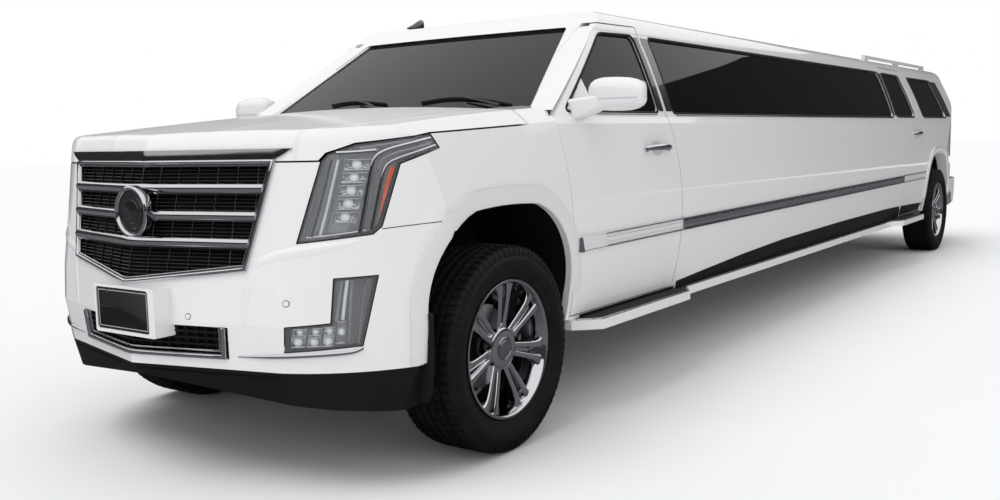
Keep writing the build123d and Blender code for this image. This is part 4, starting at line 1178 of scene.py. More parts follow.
@dataclass
class Fascia:
    """Lower intake with its chrome, parking sensors and the bare number plate."""

    intake: tuple[Flat, ...] = ((-0.425, 0.588), (0.425, 0.588), (0.415, 0.474), (-0.415, 0.474))
    sensors: tuple[Flat, ...] = ((0.264, 0.62), (0.652, 0.68))
    plate: Box = (-0.1474, 0.559, 0.1574, 0.7114)
    plate_face: float = fa(-1.0122)
    screw_z: float = 0.698

    def intake_mesh(self) -> Shape:
        """Rectangular black mesh in the lower intake."""
        whole = V_FORM.panel(inset(self.intake, 0.003), -0.03, 0.004, 0.05)
        (_, top), (_, foot) = self.intake[1], self.intake[2]
        for k in range(1, 5):
            z = foot + (top - foot) * k / 5
            half = 0.415 + 0.01 * k / 5 - 0.004
            line = [(-half, z), (0.0, z), (half, z)]
            whole.join(V_FORM.strip(line, slab(0.003, -0.026, -0.01), spacing=0.08))
        for k in range(-10, 11):
            x = k * 0.04
            line = [(x, foot + 0.003), (x, top - 0.003)]
            whole.join(V_FORM.strip(line, slab(0.002, -0.026, -0.012), flat_up=True))
        return whole

    def intake_chrome(self) -> Shape:
        """Chrome line along the bottom and up both ends of the intake, doubled by a thin one."""
        line = [
            (-0.408, 0.586), (-0.398, 0.483), (-0.2, 0.481), (0.0, 0.48), (0.2, 0.481), (0.398, 0.483),
            (0.408, 0.586),
        ]
        wide = V_FORM.strip(line, bead(0.02, 0.012), 0.0, 0.05, sizes=(0.9, 1.0, 1.0, 1.0, 0.9))
        thin_line = [(-0.386, 0.585), (-0.38, 0.501), (0.0, 0.499), (0.38, 0.501), (0.386, 0.585)]
        thin = V_FORM.strip(thin_line, bead(0.008, 0.006), -0.008, 0.05)
        return wide.join(thin)

    def number_plate(self) -> None:
        """Blank plate with a pressed edge and two screws, sunk in the bumper's pad."""
        face, middle = self.plate_face, (self.plate[0] + self.plate[2]) / 2
        flat = round_box(*self.plate, PLATE_CORNER)
        rows = [facing(flat, face + 0.0012), facing(flat, face)]
        for shrink, out in ((0.003, -0.0004), (0.0055, -0.0004), (0.007, 0.0004)):
            rows.append(facing(inset(flat, shrink), face + out))
        piece("front_plate", solid(rows), Kind.PIANO)
        pale = [
            facing(inset(flat, shrink), face + out)
            for shrink, out in ((0.0085, 0.0005), (0.0087, -0.0006), (0.0112, -0.0006), (0.0114, 0.0005))
        ]
        piece("front_plate_line", grid(pale, ring=True, loop=True), Kind.PALE)
        head = lathe([(0.0, 0.0004), (0.0, 0.0055), (0.0012, 0.0048), (0.002, 0.0025), (0.002, 0.0004)], 20)
        places = [
            placed(middle + side * PLATE_HOLE_X, face, self.screw_z) @ turned("Z", -90.0)
            for side in (-1, 1)
        ]
        piece("front_plate_screws", together(head.moved(place) for place in places), Kind.DARK_CHROME)

    def creases(self) -> None:
        """Soft pressed lines round the fog lamp and the hairline between bumper and fender."""
        soft = [
            (-0.026, -0.002), (-0.024, -0.0006), (-0.008, 0.003), (0.0, 0.0038), (0.01, 0.0012),
            (0.022, -0.0006), (0.024, -0.002),
        ]
        for name, line, sizes in (
            (
                "upper", [(0.52, 0.79), (0.556, 0.818), (0.657, 0.846), (0.772, 0.864), (0.845, 0.884)],
                (0.3, 1.0, 1.0, 1.0, 0.3),
            ),
            ("side", [(0.52, 0.78), (0.505, 0.72), (0.492, 0.64), (0.486, 0.596)], (0.3, 0.9, 0.8, 0.3)),
        ):
            crease = NOSE_SKIN.strip(curve(line, 5), soft, 0.0, 0.02, sizes=sizes)
            pair(f"fascia_crease_left_{name}", crease, Kind.WHITE)
        hair = [(fa(-0.603), 0.9215), (fa(-0.551), 0.926), (fa(-0.486), 0.93), (fa(-0.402), 0.933)]
        pair("fascia_gap_left", SIDE_SKIN.strip(hair, slab(0.0015, -0.001, 0.0004), 0.0, 0.02), Kind.SEAL)

    def fog_strips(self) -> None:
        """Chrome blade under each fog lamp, tapering toward the middle."""
        line = [(0.452, 0.486), (0.54, 0.491), (0.635, 0.497), (0.769, 0.504), (0.826, 0.509), (0.85, 0.522)]
        section = [
            (-0.009, -0.002), (-0.009, 0.003), (-0.004, 0.009), (0.003, 0.0095), (0.008, 0.004),
            (0.009, -0.002),
        ]
        blade = NOSE_SKIN.strip(curve(line, 4), section, 0.0, 0.02, sizes=(0.25, 0.8, 1.0, 1.0, 0.8))
        pair("fog_strip_left", blade, Kind.CHROME)

    def flap(self) -> None:
        """Black guard behind the bumper's end, ahead of the tyre."""
        outline = [(0.8, 0.3), (0.945, 0.29), (0.972, 0.32), (0.986, 0.47), (0.986, 0.62), (0.8, 0.62)]
        full = round_corners(outline, 0.02, 4)
        small = inset(full, 0.003)
        rings = ((small, -0.4755), (full, -0.4735), (full, -0.4575), (small, -0.4555))
        rows = [facing(ring, fa(behind)) for ring, behind in rings]
        pair("front_guard_left", solid(rows), Kind.BLACK)

    @staticmethod
    def skirt() -> Shape:
        """The black valance with its foot rising toward the middle."""
        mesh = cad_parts["front_valance"].data
        top = max(vertex.co.z for vertex in mesh.vertices)
        points = []
        for vertex in mesh.vertices:
            x, y, z = vertex.co
            reach = 0.34 + 0.66 * min(1.0, abs(x) / 0.9)
            points.append(Vector((x, y, top - (top - z) * reach)))
        return Shape(points, [tuple(face.vertices) for face in mesh.polygons])

    def build(self) -> None:
        """Makes and dresses the lower front."""
        piece("intake_mesh", self.intake_mesh(), Kind.SATIN)
        piece("intake_chrome", self.intake_chrome(), Kind.CHROME)
        self.number_plate()
        self.creases()
        self.flap()
        self.fog_strips()
        for index, (x, z) in enumerate(self.sensors):
            disc = NOSE_SKIN.panel(ellipse(x, z, SENSOR_R, SENSOR_R, 16), 0.0012, 0.004, 0.004, dome=0.0006)
            wide = SENSOR_R * 1.25
            seat = NOSE_SKIN.panel(ellipse(x, z, wide, wide, 16), 0.0004, 0.003, 0.004)
            pair(f"sensor_left_{index}", disc, Kind.WHITE)
            pair(f"sensor_seat_left_{index}", seat, Kind.SEAL)
        ridges = Shape()
        for z in (0.428, 0.412):
            line = [(x * 0.06, z) for x in range(-10, 11)]
            ridges.join(Skin(Look.FRONT, "front_valance").strip(line, bead(0.006, 0.003), 0.0, 0.05))
        piece("valance_ridges", ridges, Kind.BLACK)
        piece("valance_skirt", self.skirt(), Kind.BLACK, replaces=("front_valance",), angle=24.0)


# ---------------------------------------------------------------- lamps
@dataclass
class LampUnit:
    """Lamp behind a clear cover at a front corner, drawn from the corner."""

    name: str
    node: str
    outline: tuple[Flat, ...]
    cells: Sequence[tuple[Flat, ...]]
    bands: tuple[tuple[tuple[Flat, ...], float, Kind, float], ...]
    shades: tuple[tuple[tuple[Flat, ...], float], ...]
    wedges: tuple[tuple[Kind, tuple[Flat, ...], tuple[float, ...]], ...] = ()
    back: Kind = Kind.LAMP_BACK
    depth: float = 0.04
    skin: Skin = field(init=False)

    def __post_init__(self) -> None:
        self.skin = Skin(Look.CORNER, self.node)

    def cell_shapes(self) -> tuple[Shape, Shape, Shape]:
        """Frames, bowls and lit lenses of the cells."""
        frames, bowls, lenses = Shape(), Shape(), Shape()
        for cell in self.cells:
            drawn = scaled(cell)
            frames.join(self.skin.strip(inset(drawn, 0.002), bead(0.0045, 0.006), -0.01, 0.02, closed=True))
            bowls.join(self.skin.panel(inset(drawn, 0.003), -0.02, 0.004, 0.012, dome=-0.004))
            middle = sum((Vector(point) for point in drawn), Vector((0.0, 0.0))) / len(drawn)
            reach = 0.42 * min((Vector(drawn[k]) - Vector(drawn[k - 1])).length for k in range(len(drawn)))
            ring = ellipse(middle.x, middle.y, reach, reach, 24)
            lenses.join(self.skin.panel(ring, -0.017, 0.005, reach * 0.35, dome=0.01))
        return frames, bowls, lenses

    def build(self) -> None:
        """Makes and dresses the lamp on both sides."""
        drawn = scaled(self.outline)
        housing = pair(f"{self.name}_housing_left", self.skin.panel(drawn, -self.depth, 0.006, 0.03), self.back)
        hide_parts(self.node)
        rim = self.skin.strip(inset(drawn, 0.0035), bead(0.0075, 0.002), -0.0045, 0.02, closed=True)
        for line, width in self.shades:
            rim.join(self.skin.strip(scaled(line), bead(width, 0.002), -0.0042, 0.02))
        pair(f"{self.name}_rim_left", rim, Kind.PIANO)
        low, high = -self.depth, -0.002
        section = [(-0.002, low), (0.002, low), (0.002, high), (-0.002, high)]
        walls = self.skin.strip(inset(drawn, 0.002), section, 0.0, 0.03, closed=True, flat_up=True)
        pair(f"{self.name}_wall_left", walls, Kind.PIANO)
        cover = self.skin.panel(inset(drawn, 0.0015), -0.0005, 0.003, 0.02)
        pair(f"{self.name}_cover_left", cover, Kind.CLEAR)
        frames, bowls, lenses = self.cell_shapes()
        pair(f"{self.name}_frames_left", frames, Kind.CHROME)
        pair(f"{self.name}_bowls_left", bowls, Kind.CRYSTAL)
        pair(f"{self.name}_lenses_left", lenses, Kind.LED)
        for kind, line, sizes in self.wedges:
            made = self.skin.strip(curve(scaled(line), 5), bead(0.015, 0.006), -0.006, 0.015, sizes=sizes)
            pair(f"{self.name}_{kind.name.lower()}_wedge_left", made, kind)
        grouped: dict[Kind, Shape] = {}
        for line, width, kind, lift in self.bands:
            made = self.skin.strip(curve(scaled(line), 4), bead(width, width * 0.6), lift, 0.02)
            grouped.setdefault(kind, Shape()).join(made)
        for kind, shape in grouped.items():
            pair(f"{self.name}_{kind.name.lower()}_bands_left", shape, kind)


def headlamp() -> LampUnit:
    """Tall headlamp: a stack of five cells between upright light guides that bend rearward."""
    outline = (
        (12, 1155), (-80, 881), (173, 906), (204, 930), (274, 1139), (417, 1189), (385, 1236), (127, 1207),
        (34, 1177),
    )
    cells = []
    for foot, top in ((945, 983), (989, 1028), (1033, 1072), (1077, 1114), (1119, 1158)):
        (a, b), (c, d) = ((38 + 0.2385 * (z - 942), 117 + 0.289 * (z - 942)) for z in (foot, top))
        cells.append(((a, foot), (b, foot), (d, top), (c, top)))
    bands = (
        (
            (
                (131, 912), (147, 983), (163, 1061), (181, 1134), (197, 1166), (240, 1187), (319, 1206),
                (386, 1221),
            ),
            0.019, Kind.CHROME, -0.008,
        ),
        (
            (
                (151, 914), (168, 985), (186, 1064), (202, 1128), (218, 1156), (262, 1175), (330, 1191),
                (398, 1209),
            ),
            0.012, Kind.DARK_CHROME, -0.012,
        ),
        (
            (
                (171, 922), (187, 990), (204, 1060), (220, 1116), (239, 1142), (280, 1159), (340, 1177),
                (404, 1196),
            ),
            0.015, Kind.CHROME, -0.006,
        ),
        (((-52, 900), (-22, 989), (4, 1076), (25, 1148)), 0.012, Kind.DARK_CHROME, -0.012),
        (((-30, 902), (-2, 988), (24, 1076), (46, 1157)), 0.015, Kind.CHROME, -0.01),
        (((-6, 904), (20, 988), (44, 1076), (66, 1158)), 0.01, Kind.GUIDE, -0.014),
        (((12, 905), (35, 988), (58, 1076), (80, 1158)), 0.008, Kind.DARK_CHROME, -0.01),
        (((62, 1178), (130, 1180), (196, 1184)), 0.022, Kind.CHROME, -0.012),
        (((140, 1194), (230, 1205), (340, 1222)), 0.012, Kind.DARK_CHROME, -0.012),
        (((-50, 897), (50, 906), (150, 917)), 0.012, Kind.CHROME, -0.01),
    )
    shades = (
        (((60, 900), (165, 912), (197, 934), (232, 1040), (268, 1140), (330, 1166), (404, 1194)), 0.016),
    )
    return LampUnit(
        "headlamp", "headlamps", outline, cells, bands, shades,
        ((Kind.AMBER, ((196, 955), (217, 1030), (232, 1080), (249, 1128)), (0.25, 0.7, 1.0, 1.0)),),
    )


def fog_lamp() -> LampUnit:
    """L-shaped lower lamp: two rows of cells with upright blades beside them."""
    outline = ((37, 760), (185, 765), (125, 530), (-136, 512), (-132, 598), (22, 610))
    cells = (
        ((-105, 593), (-57, 594), (-60, 567), (-111, 567)), ((-49, 595), (-7, 597), (-12, 568), (-57, 567)),
        ((-2, 598), (37, 600), (32, 569), (-7, 568)), ((-114, 564), (-63, 565), (-67, 528), (-122, 526)),
        ((-58, 564), (-12, 565), (-18, 528), (-64, 528)), ((-7, 567), (32, 568), (26, 529), (-13, 528)),
        ((43, 617), (74, 618), (67, 540), (35, 538)),
    )
    bands = (
        (((60, 756), (48, 680), (38, 618)), 0.014, Kind.CHROME, -0.012),
        (((82, 759), (71, 690), (61, 622)), 0.012, Kind.GUIDE, -0.012),
        (((99, 762), (89, 650), (78, 542)), 0.01, Kind.CHROME, -0.012),
        (((143, 767), (128, 650), (113, 535)), 0.013, Kind.CHROME, -0.01),
    )
    shades = (
        (((178, 758), (150, 640), (121, 538)), 0.018), (((-124, 592), (-126, 520)), 0.024),
        (((-120, 519), (0, 524), (118, 533)), 0.012),
    )
    return LampUnit("fog_lamp", "fog_lamps", outline, cells, bands, shades, (), Kind.SMOKE)


# ---------------------------------------------------------------- wheels
@dataclass
class Wheel:
    """Polished twin-spoke wheel with a ribbed and blocked tyre."""

    half: float = 0.118
    flange_r: float = 0.272
    bead_r: float = 0.2612
    drop_r: float = 0.236
    pairs: int = 7
    pitches: int = 72
    hub_r: float = 0.088
    hub_lobe: float = 0.01

    def rim(self) -> Shape:
        """Barrel with its rolled outer lip."""
        h, f, b, d = self.half, self.flange_r, self.bead_r, self.drop_r
        profile = [
            (-h, b - 0.012), (-h, f), (-h + 0.012, f), (-h + 0.012, b), (h - 0.012, b), (h - 0.012, f - 0.0005),
            (h - 0.006, f),
            (h - 0.0015, f - 0.001), (h, f - 0.004), (h - 0.001, f - 0.009), (h - 0.006, f - 0.013),
            (h - 0.016, f - 0.017),
            (h - 0.022, f - 0.02), (h - 0.03, f - 0.024), (h - 0.06, d), (-h + 0.04, d),
        ]
        return lathe(profile, 96)

    def spoke(self, side: float) -> Shape:
        """One bar of a twin spoke, standing up from the hub."""
        path, ups, sizes = [], [], []
        for r, x, gap, size in (
            (0.05, 0.074, 0.013, 1.05), (0.085, 0.08, 0.0165, 1.0), (0.13, 0.087, 0.02, 1.0),
            (0.18, 0.094, 0.024, 1.06), (0.215, 0.0985, 0.0275, 1.22), (0.238, 0.101, 0.032, 1.65),
            (0.256, 0.101, 0.0385, 2.35),
        ):
            path.append(Vector((x, side * gap, r)))
            ups.append(Vector((1.0, 0.0, -0.18)).normalized())
            sizes.append(size)
        w = 0.0096
        section = [
            (-w, -0.028), (-w - 0.0012, -0.004), (-w + 0.0015, -0.0006), (-w + 0.004, 0.0), (w - 0.004, 0.0),
            (w - 0.0015, -0.0006), (w + 0.0012, -0.004), (w, -0.028),
        ]
        return sweep(path, ups, section, sizes=sizes)

    def hub(self) -> Shape:
        """Lobed hub with the wide cover that hides the nuts."""
        rows = []
        for x, grow in ((0.045, 0.0), (0.077, 0.0), (0.081, -0.004), (0.082, -0.012)):
            ring = []
            for k in range(112):
                turn = 2 * math.pi * k / 112
                r = self.hub_r + self.hub_lobe * math.cos(self.pairs * turn) + grow
                ring.append(Vector((x, r * math.sin(turn), r * math.cos(turn))))
            rows.append(ring)
        plate = solid(rows)
        crown = lathe([
            (0.08, 0.0005), (0.08, 0.081), (0.0835, 0.0805), (0.0862, 0.0775), (0.0885, 0.07), (0.0895, 0.056),
            (0.0898, 0.048), (0.0885, 0.047), (0.0885, 0.0005),
        ], 64)
        return plate.join(crown)

    def cap(self) -> Shape:
        """Bare centre cap with a raised rim."""
        return lathe([
            (0.087, 0.0455), (0.0925, 0.045), (0.0942, 0.0425), (0.094, 0.0395), (0.0922, 0.038),
            (0.0918, 0.03),
            (0.093, 0.0285), (0.0945, 0.0005), (0.085, 0.0005), (0.085, 0.0455),
        ], 48)

    def tyre(self) -> Shape:
        """Carcass with sidewall rings and grooves between the tread's ribs."""
        right = [
            (0.104, 0.2625), (0.1055, 0.275), (0.112, 0.279), (0.115, 0.2865), (0.1175, 0.287),
            (0.1205, 0.296), (0.1265, 0.308), (0.129, 0.3085), (0.132, 0.318), (0.1345, 0.326),
            (0.1365, 0.332), (0.1372, 0.342), (0.135, 0.358), (0.1325, 0.36), (0.1315, 0.364),
            (0.1285, 0.378), (0.124, 0.389), (0.119, 0.3945), (0.112, 0.3965),
        ]
        for centre in (0.078, 0.04, 0.0):
            right += [(centre + 0.007, 0.398), (centre + 0.0045, 0.3925)]
            right += [(centre - 0.0045, 0.3925), (centre - 0.007, 0.398)] if centre else []
        profile = [(-x, r) for x, r in right] + [(x, r) for x, r in reversed(right)]
        return lathe(profile, 108)

    def tread(self) -> Shape:
        """Blocks and ribs of the tread with sipes between them."""
        whole = Shape()
        bands = (
            (-0.121, -0.086, 0.3), (-0.07, -0.048, 0.14), (-0.032, -0.008, 0.1), (0.008, 0.032, 0.1),
            (0.048, 0.07, 0.14), (0.086, 0.121, 0.3),
        )
        for number, (x0, x1, gap) in enumerate(bands):
            for k in range(self.pitches):
                start = 2 * math.pi * (k + 0.35 * (number % 3)) / self.pitches
                end = start + 2 * math.pi / self.pitches * (1 - gap)
                lean = 0.012 if number in (1, 4) else 0.0
                rows = []
                for r in (0.39, 0.402, 0.4046):
                    cut = 0.0016 if r > 0.404 else 0.0
                    ring = []
                    for x, turn, lead in (
                        (x0 + cut, start, 0.0), (x1 - cut, start, lean), (x1 - cut, end, lean),
                        (x0 + cut, end, 0.0),
                    ):
                        tilt = turn + lead + (cut / 0.4 if turn == start else -cut / 0.4)
                        fall = max(0.0, abs(x) - 0.1) ** 2 * 14.0
                        ring.append(Vector((x, (r - fall) * math.sin(tilt), (r - fall) * math.cos(tilt))))
                    rows.append(ring)
                whole.join(solid(rows))
        return whole

    def shoulders(self) -> Shape:
        """Short raised bars down both shoulders."""
        whole = Shape()
        for side in (-1, 1):
            for k in range(self.pitches):
                turn = Matrix.Rotation(2 * math.pi * (k + 0.2) / self.pitches, 4, "X")
                rows = []
                for x, r in ((0.1215, 0.394), (0.1275, 0.38), (0.1325, 0.364)):
                    root, crest, high = side * (x - 0.003), side * (x + 0.0022), r + 0.001
                    rows.append([Vector(point) for point in (
                        (root, -0.0045, r), (crest, -0.0036, high), (crest, 0.0036, high), (root, 0.0045, r),
                    )])
                whole.join(solid(rows).moved(turn))
        return whole

    def build(self) -> None:
        """Makes the four wheels."""
        tyre, tread = self.tyre(), self.tread().join(self.shoulders())
        rim, hub, cap = self.rim(), self.hub(), self.cap()
        web = brick((0.05, -0.01, 0.06), (0.07, 0.01, 0.25), 0.003)
        spokes = Shape()
        for k in range(self.pairs):
            turn = Matrix.Rotation(2 * math.pi * k / self.pairs, 4, "X")
            for part in (self.spoke(-1), self.spoke(1), web):
                spokes.join(part.moved(turn))
        for end, y in (("front", FRONT_AXLE_Y), ("rear", REAR_AXLE_Y)):
            at = placed(TRACK_HALF, y, TYRE_R)
            body = f"wheel_{end}_left"
            pair(f"tyre_{end}_left_carcass", tyre.moved(at), Kind.TYRE, body, (f"tyre_{end}_left",), angle=50.0)
            pair(f"tread_{end}_left", tread.moved(at), Kind.TYRE, body, angle=30.0)
            pair(f"rim_{end}_left_barrel", rim.moved(at), Kind.CHROME, body, (f"rim_{end}_left",), angle=45.0)
            pair(f"spokes_{end}_left", spokes.moved(at), Kind.CHROME, body, angle=40.0)
            pair(f"hub_{end}_left", hub.moved(at), Kind.CHROME, body)
            pair(f"cap_{end}_left", cap.moved(at), Kind.DARK_CHROME, body)
            stem = [(0.1, 0.0, -0.252), (0.112, 0.0, -0.24), (0.117, 0.0, -0.226)]
            valve = tube(stem, 0.0032, 10, (1.0, 0.0, 0.0))
            pair(f"valve_{end}_left", valve.moved(at), Kind.SATIN, body)


# ---------------------------------------------------------------- sides
@dataclass
class Sides:
    """Mouldings, handles, arch flares, boards, seals and pillar trims down both flanks."""

    mould_mid: float = 0.7595
    mould_rise: float = 0.0195
    mould_start: float = fa(0.5)
    middle: Flat = (fa(1.5485), fa(6.103))
    rear_door: float = fa(6.119)
    door_low: float = 0.4535
    sill_low: float = 0.4295
    arch_half: float = 0.468
    arch_low: float = 0.56
    flare_half: float = 0.034

    def mould_z(self, y: float) -> float:
        """Height of the moulding's middle at a place along the car."""
        return self.mould_mid + self.mould_rise * (y - self.mould_start) / 6.426

    def mouldings(self) -> None:
        """Chrome-edged side moulding with a textured middle, cut at each shut line."""
        parts = (
            ("front_door_left", self.mould_start, fa(1.531)), ("body", *self.middle),
            ("rear_door_left", self.rear_door, fa(6.926)),
        )
        for body, y0, y1 in parts:
            line = [(y0, self.mould_z(y0)), (y1, self.mould_z(y1))]
            name = "side_mould_left_" + body.replace("_left", "")
            middle = SIDE_SKIN.strip(
                line,
                [
                    (-0.025, -0.003), (-0.025, 0.005), (-0.02, 0.0075), (0.02, 0.0075), (0.025, 0.005),
                    (0.025, -0.003),
                ],
                0.0, 0.12,
            )
            edges = Shape()
            for offset, size in ((0.0285, 1.0), (-0.0285, 1.0), (0.0105, 0.35), (-0.0105, 0.35)):
                moved = [(y, z + offset) for y, z in line]
                edges.join(
                    SIDE_SKIN.strip(moved, bead(0.01 * size, 0.012 if size == 1.0 else 0.0088), 0.0, 0.12)
                )
            # On the doors the moulding's middle takes the darker white as painted shade.
            pair(name, middle, Kind.BRUSHED if body == "body" else Kind.FLARE, body)
            pair(name + "_edges", edges, Kind.CHROME, body)
        # The moulding's tip takes the darker white too, as painted shade.
        for name, outline, lift, thick, dome, kind in (
            (
                "tip",
                [(0.5, 0.7275), (0.52, 0.723), (0.76, 0.724), (0.735, 0.796), (0.52, 0.795), (0.5, 0.79)],
                0.0105, 0.012, 0.003, Kind.FLARE,
            ),
            (
                "end", [(0.499, 0.729), (0.548, 0.724), (0.524, 0.79), (0.499, 0.789)], 0.0145, 0.006, 0.002,
                Kind.BRUSHED,
            ),
        ):
            cap = SIDE_SKIN.panel([(fa(y), z) for y, z in outline], lift, thick, 0.02, dome=dome)
            pair(f"side_mould_{name}_left", cap, kind, "front_door_left")

    def handle(self, name: str, body: str, y0: float, y1: float, z: float) -> None:
        """Chrome pull handle over a flat plate painted darker grey as the shade of its dished cup."""
        length = y1 - y0
        path, ups, sizes = [], [], []
        for k in range(17):
            t = k / 16
            base, normal = SIDE_SKIN.meet(y0 + length * t, z)
            rise = 0.012 + 0.026 * math.sin(math.pi * t) ** 0.6
            path.append(base + normal * rise)
            ups.append(normal)
            sizes.append(0.62 + 0.38 * math.sin(math.pi * t) ** 0.5)
        grip = sweep(path, ups, oval(0.03, 0.015, 14), sizes=sizes)
        for end in (y0 + 0.012, y1 - 0.012):
            grip.join(SIDE_SKIN.panel(ellipse(end, z, 0.017, 0.015, 18), 0.01, 0.013, 0.008, dome=0.004))
        pair(f"handle_left_{name}", grip, Kind.CHROME, body)
        # The cup is a flat plate painted darker grey as painted shade under the handle.
        cup = SIDE_SKIN.panel(ellipse((y0 + y1) / 2, z, 0.062, 0.036, 32), 0.0012, 0.004, 0.012)
        pair(f"handle_cup_left_{name}", cup, Kind.CUP_SHADE, body)

    def flare(self, axle_y: float, foot_front: float) -> Shape:
        """Raised band round a wheel arch, down to foot_front on its front side."""
        half, low, shoulder = self.arch_half, self.arch_low, (0.26, 0.956)
        front, rear = axle_y - half, axle_y + half
        up, down = (front + shoulder[0], shoulder[1]), (rear - shoulder[0], shoulder[1])
        points = [(front, foot_front)] if foot_front < low else []
        points += arc((front, low), (front + 0.0935, 0.8575), up, 10)
        points += arc(up, (axle_y, 0.966), down, 8)
        points += arc(down, (rear - 0.0935, 0.8575), (rear, low), 10)
        points.append((rear, low))
        line = []
        for i, here in enumerate(points):
            before, after = points[max(0, i - 1)], points[min(len(points) - 1, i + 1)]
            way = Vector((after[0] - before[0], after[1] - before[1])).normalized()
            line.append((here[0] - way.y * self.flare_half, here[1] + way.x * self.flare_half))
        section = [
            (0.034, -0.004), (0.034, 0.0095), (0.024, 0.01), (-0.01, 0.0085), (-0.024, 0.0055),
            (-0.034, 0.0005), (-0.036, -0.004),
        ]
        return SIDE_SKIN.strip(line, [(-s, o) for s, o in section], 0.0, 0.04)

    def seals(self) -> None:
        """Rubber round each side window and the bright line at the belt."""
        windows = (
            (
                "front_door_left", "front",
                [(fa(0.52), 1.326), (fa(1.052), 1.692), (fa(1.392), 1.702), (fa(1.402), 1.326)],
            ),
            (
                "rear_door_left", "rear",
                [(ra(-1.465), 1.326), (ra(-1.472), 1.7), (ra(-0.898), 1.694), (ra(-0.8), 1.326)],
            ),
            ("body", "long", [(fa(1.56), 1.322), (fa(1.56), 1.702), (ra(-1.585), 1.702), (ra(-1.575), 1.322)]),
            ("body", "quarter", [(ra(-0.47), 1.326), (ra(-0.585), 1.69), (ra(0.36), 1.69), (ra(0.56), 1.326)]),
        )
        for body, name, window in windows:
            outline = round_corners(window, 0.036, 6)
            ring = SIDE_WALL.strip(inset(outline, -0.004), bead(0.013, 0.004), 0.0, 0.09, closed=True)
            pair(f"window_seal_left_{name}", ring, Kind.SEAL, body)
            feet = sorted(point for point in window if point[1] < 1.4)
            line = [(feet[0][0] + 0.03, feet[0][1] - 0.012), (feet[1][0] - 0.03, feet[1][1] - 0.012)]
            belt = SIDE_WALL.strip(line, bead(0.009, 0.0055), 0.0, 0.12)
            pair(f"belt_line_left_{name}", belt, Kind.CHROME, body)

    def pillars(self) -> None:
        """Gloss black trims between the panes."""
        foot, top = 1.33, 1.7
        pieces = (
            (
                "front_door_left", "front",
                [(fa(1.413), foot), (fa(1.456), foot), (fa(1.442), top), (fa(1.404), top)],
            ),
            ("body", "post", [(fa(1.488), foot), (fa(1.548), foot), (fa(1.548), top), (fa(1.474), top)]),
            ("body", "divider", [(ra(-1.564), foot), (ra(-1.529), foot), (ra(-1.532), top), (ra(-1.574), top)]),
            (
                "rear_door_left", "rear",
                [(ra(-1.507), foot), (ra(-1.478), foot), (ra(-1.484), top), (ra(-1.514), top)],
            ),
            ("body", "tail", [(ra(0.585), foot), (ra(0.385), 1.686), (ra(0.63), 1.686), (ra(0.8), foot)]),
        )
        for body, name, outline in pieces:
            pair(f"pillar_left_{name}", SIDE_WALL.panel(outline, 0.0022, 0.005, 0.04), Kind.PIANO, body)

    def sill_shades(self) -> None:
        """Black panels over the body's tucked-in foot, seen over the running board, painted as its shade."""
        # The black here is painted shade where the body tucks in above the board.
        line = [
            (self.middle[0], 0.466), (fa(1.84), 0.482), (fa(2.45), 0.512), (fa(3.1), 0.534), (fa(4.3), 0.545),
            (fa(5.58), 0.546), (self.middle[1], 0.538),
        ]
        foot = [(line[-1][0], self.sill_low), (line[0][0], self.sill_low)]
        pair("sill_left_middle", SIDE_WALL.panel(line + foot, 0.0012, 0.004, 0.05), Kind.BLACK)
        rear = [
            (self.rear_door, 0.537), (fa(6.6), 0.526), (fa(6.93), 0.514), (fa(6.93), self.door_low),
            (self.rear_door, self.door_low),
        ]
        pair("sill_left_rear_door", SIDE_WALL.panel(rear, 0.0012, 0.004, 0.05), Kind.BLACK, "rear_door_left")
        for name, y0, y1 in (("front", fa(0.585), fa(1.5285)), ("rear", self.rear_door, fa(6.93))):
            under = [
                (y0, self.sill_low), (y1, self.sill_low), (y1, self.door_low - 0.009),
                (y0, self.door_low - 0.009),
            ]
            pair(f"sill_left_{name}", SIDE_WALL.panel(under, 0.0012, 0.004, 0.05), Kind.BLACK)

    def boards(self) -> None:
        """Ribbed tread and metal strip on the running boards."""
        front = [
            (0.985, fa(0.56)), (1.03, fa(0.625)), (1.03, fa(1.5)), (0.962, fa(1.61)), (0.962, ra(-1.76)),
            (1.03, ra(-1.64)), (1.03, ra(-0.91)), (0.985, ra(-0.885)),
        ]
        flat = Skin(Look.TOP, "running_boards")
        back = [(0.945, y) for y in (ra(-0.885), fa(0.56))]
        tread = flat.panel(front + back, 0.003, 0.006, 0.12)
        pair("board_tread_left", tread, Kind.BLACK)
        ribs = Shape()
        for k in range(6):
            x = 0.966 + k * 0.011
            runs = ((fa(0.585), fa(1.49)), (ra(-1.64), ra(-0.92))) if x > 0.962 else ((fa(0.585), ra(-0.92)),)
            for y0, y1 in runs:
                ribs.join(flat.strip([(x, y0), (x, y1)], bead(0.004, 0.0028), 0.003, 0.4))
        pair("board_ribs_left", ribs, Kind.SATIN)
        edge = [
            (0.968, fa(0.535)), (1.044, fa(0.622)), (1.044, fa(1.496)), (0.972, fa(1.618)), (0.972, ra(-1.758)),
            (1.044, ra(-1.64)), (1.044, ra(-0.905)), (0.99, ra(-0.875)),
        ]
        bright = flat.strip(edge, bead(0.016, 0.004), 0.0, 0.3)
        for offset in (-0.0045, 0.0, 0.0045):
            bright.join(flat.strip([(x + offset, y) for x, y in edge], bead(0.0014, 0.0052), 0.0, 0.3))
        pair("board_edge_left", bright, Kind.BRUSHED)

    def build(self) -> None:
        """Makes and dresses both flanks."""
        self.mouldings()
        self.handle("front", "front_door_left", fa(1.16), fa(1.424), 1.15)
        self.handle("rear", "rear_door_left", fa(6.5), fa(6.79), 1.168)
        # The arch flares take the darker white, as painted shade on their tilted faces.
        pair("flare_left_front", self.flare(FRONT_AXLE_Y, 0.445), Kind.FLARE)
        pair("flare_left_rear", self.flare(REAR_AXLE_Y, self.arch_low), Kind.FLARE)
        self.seals()
        self.pillars()
        self.sill_shades()
        self.boards()


SIDE_WALL = Skin(Look.SIDE, "body_side_left", "front_door_left", "rear_door_left", "front_fenders")


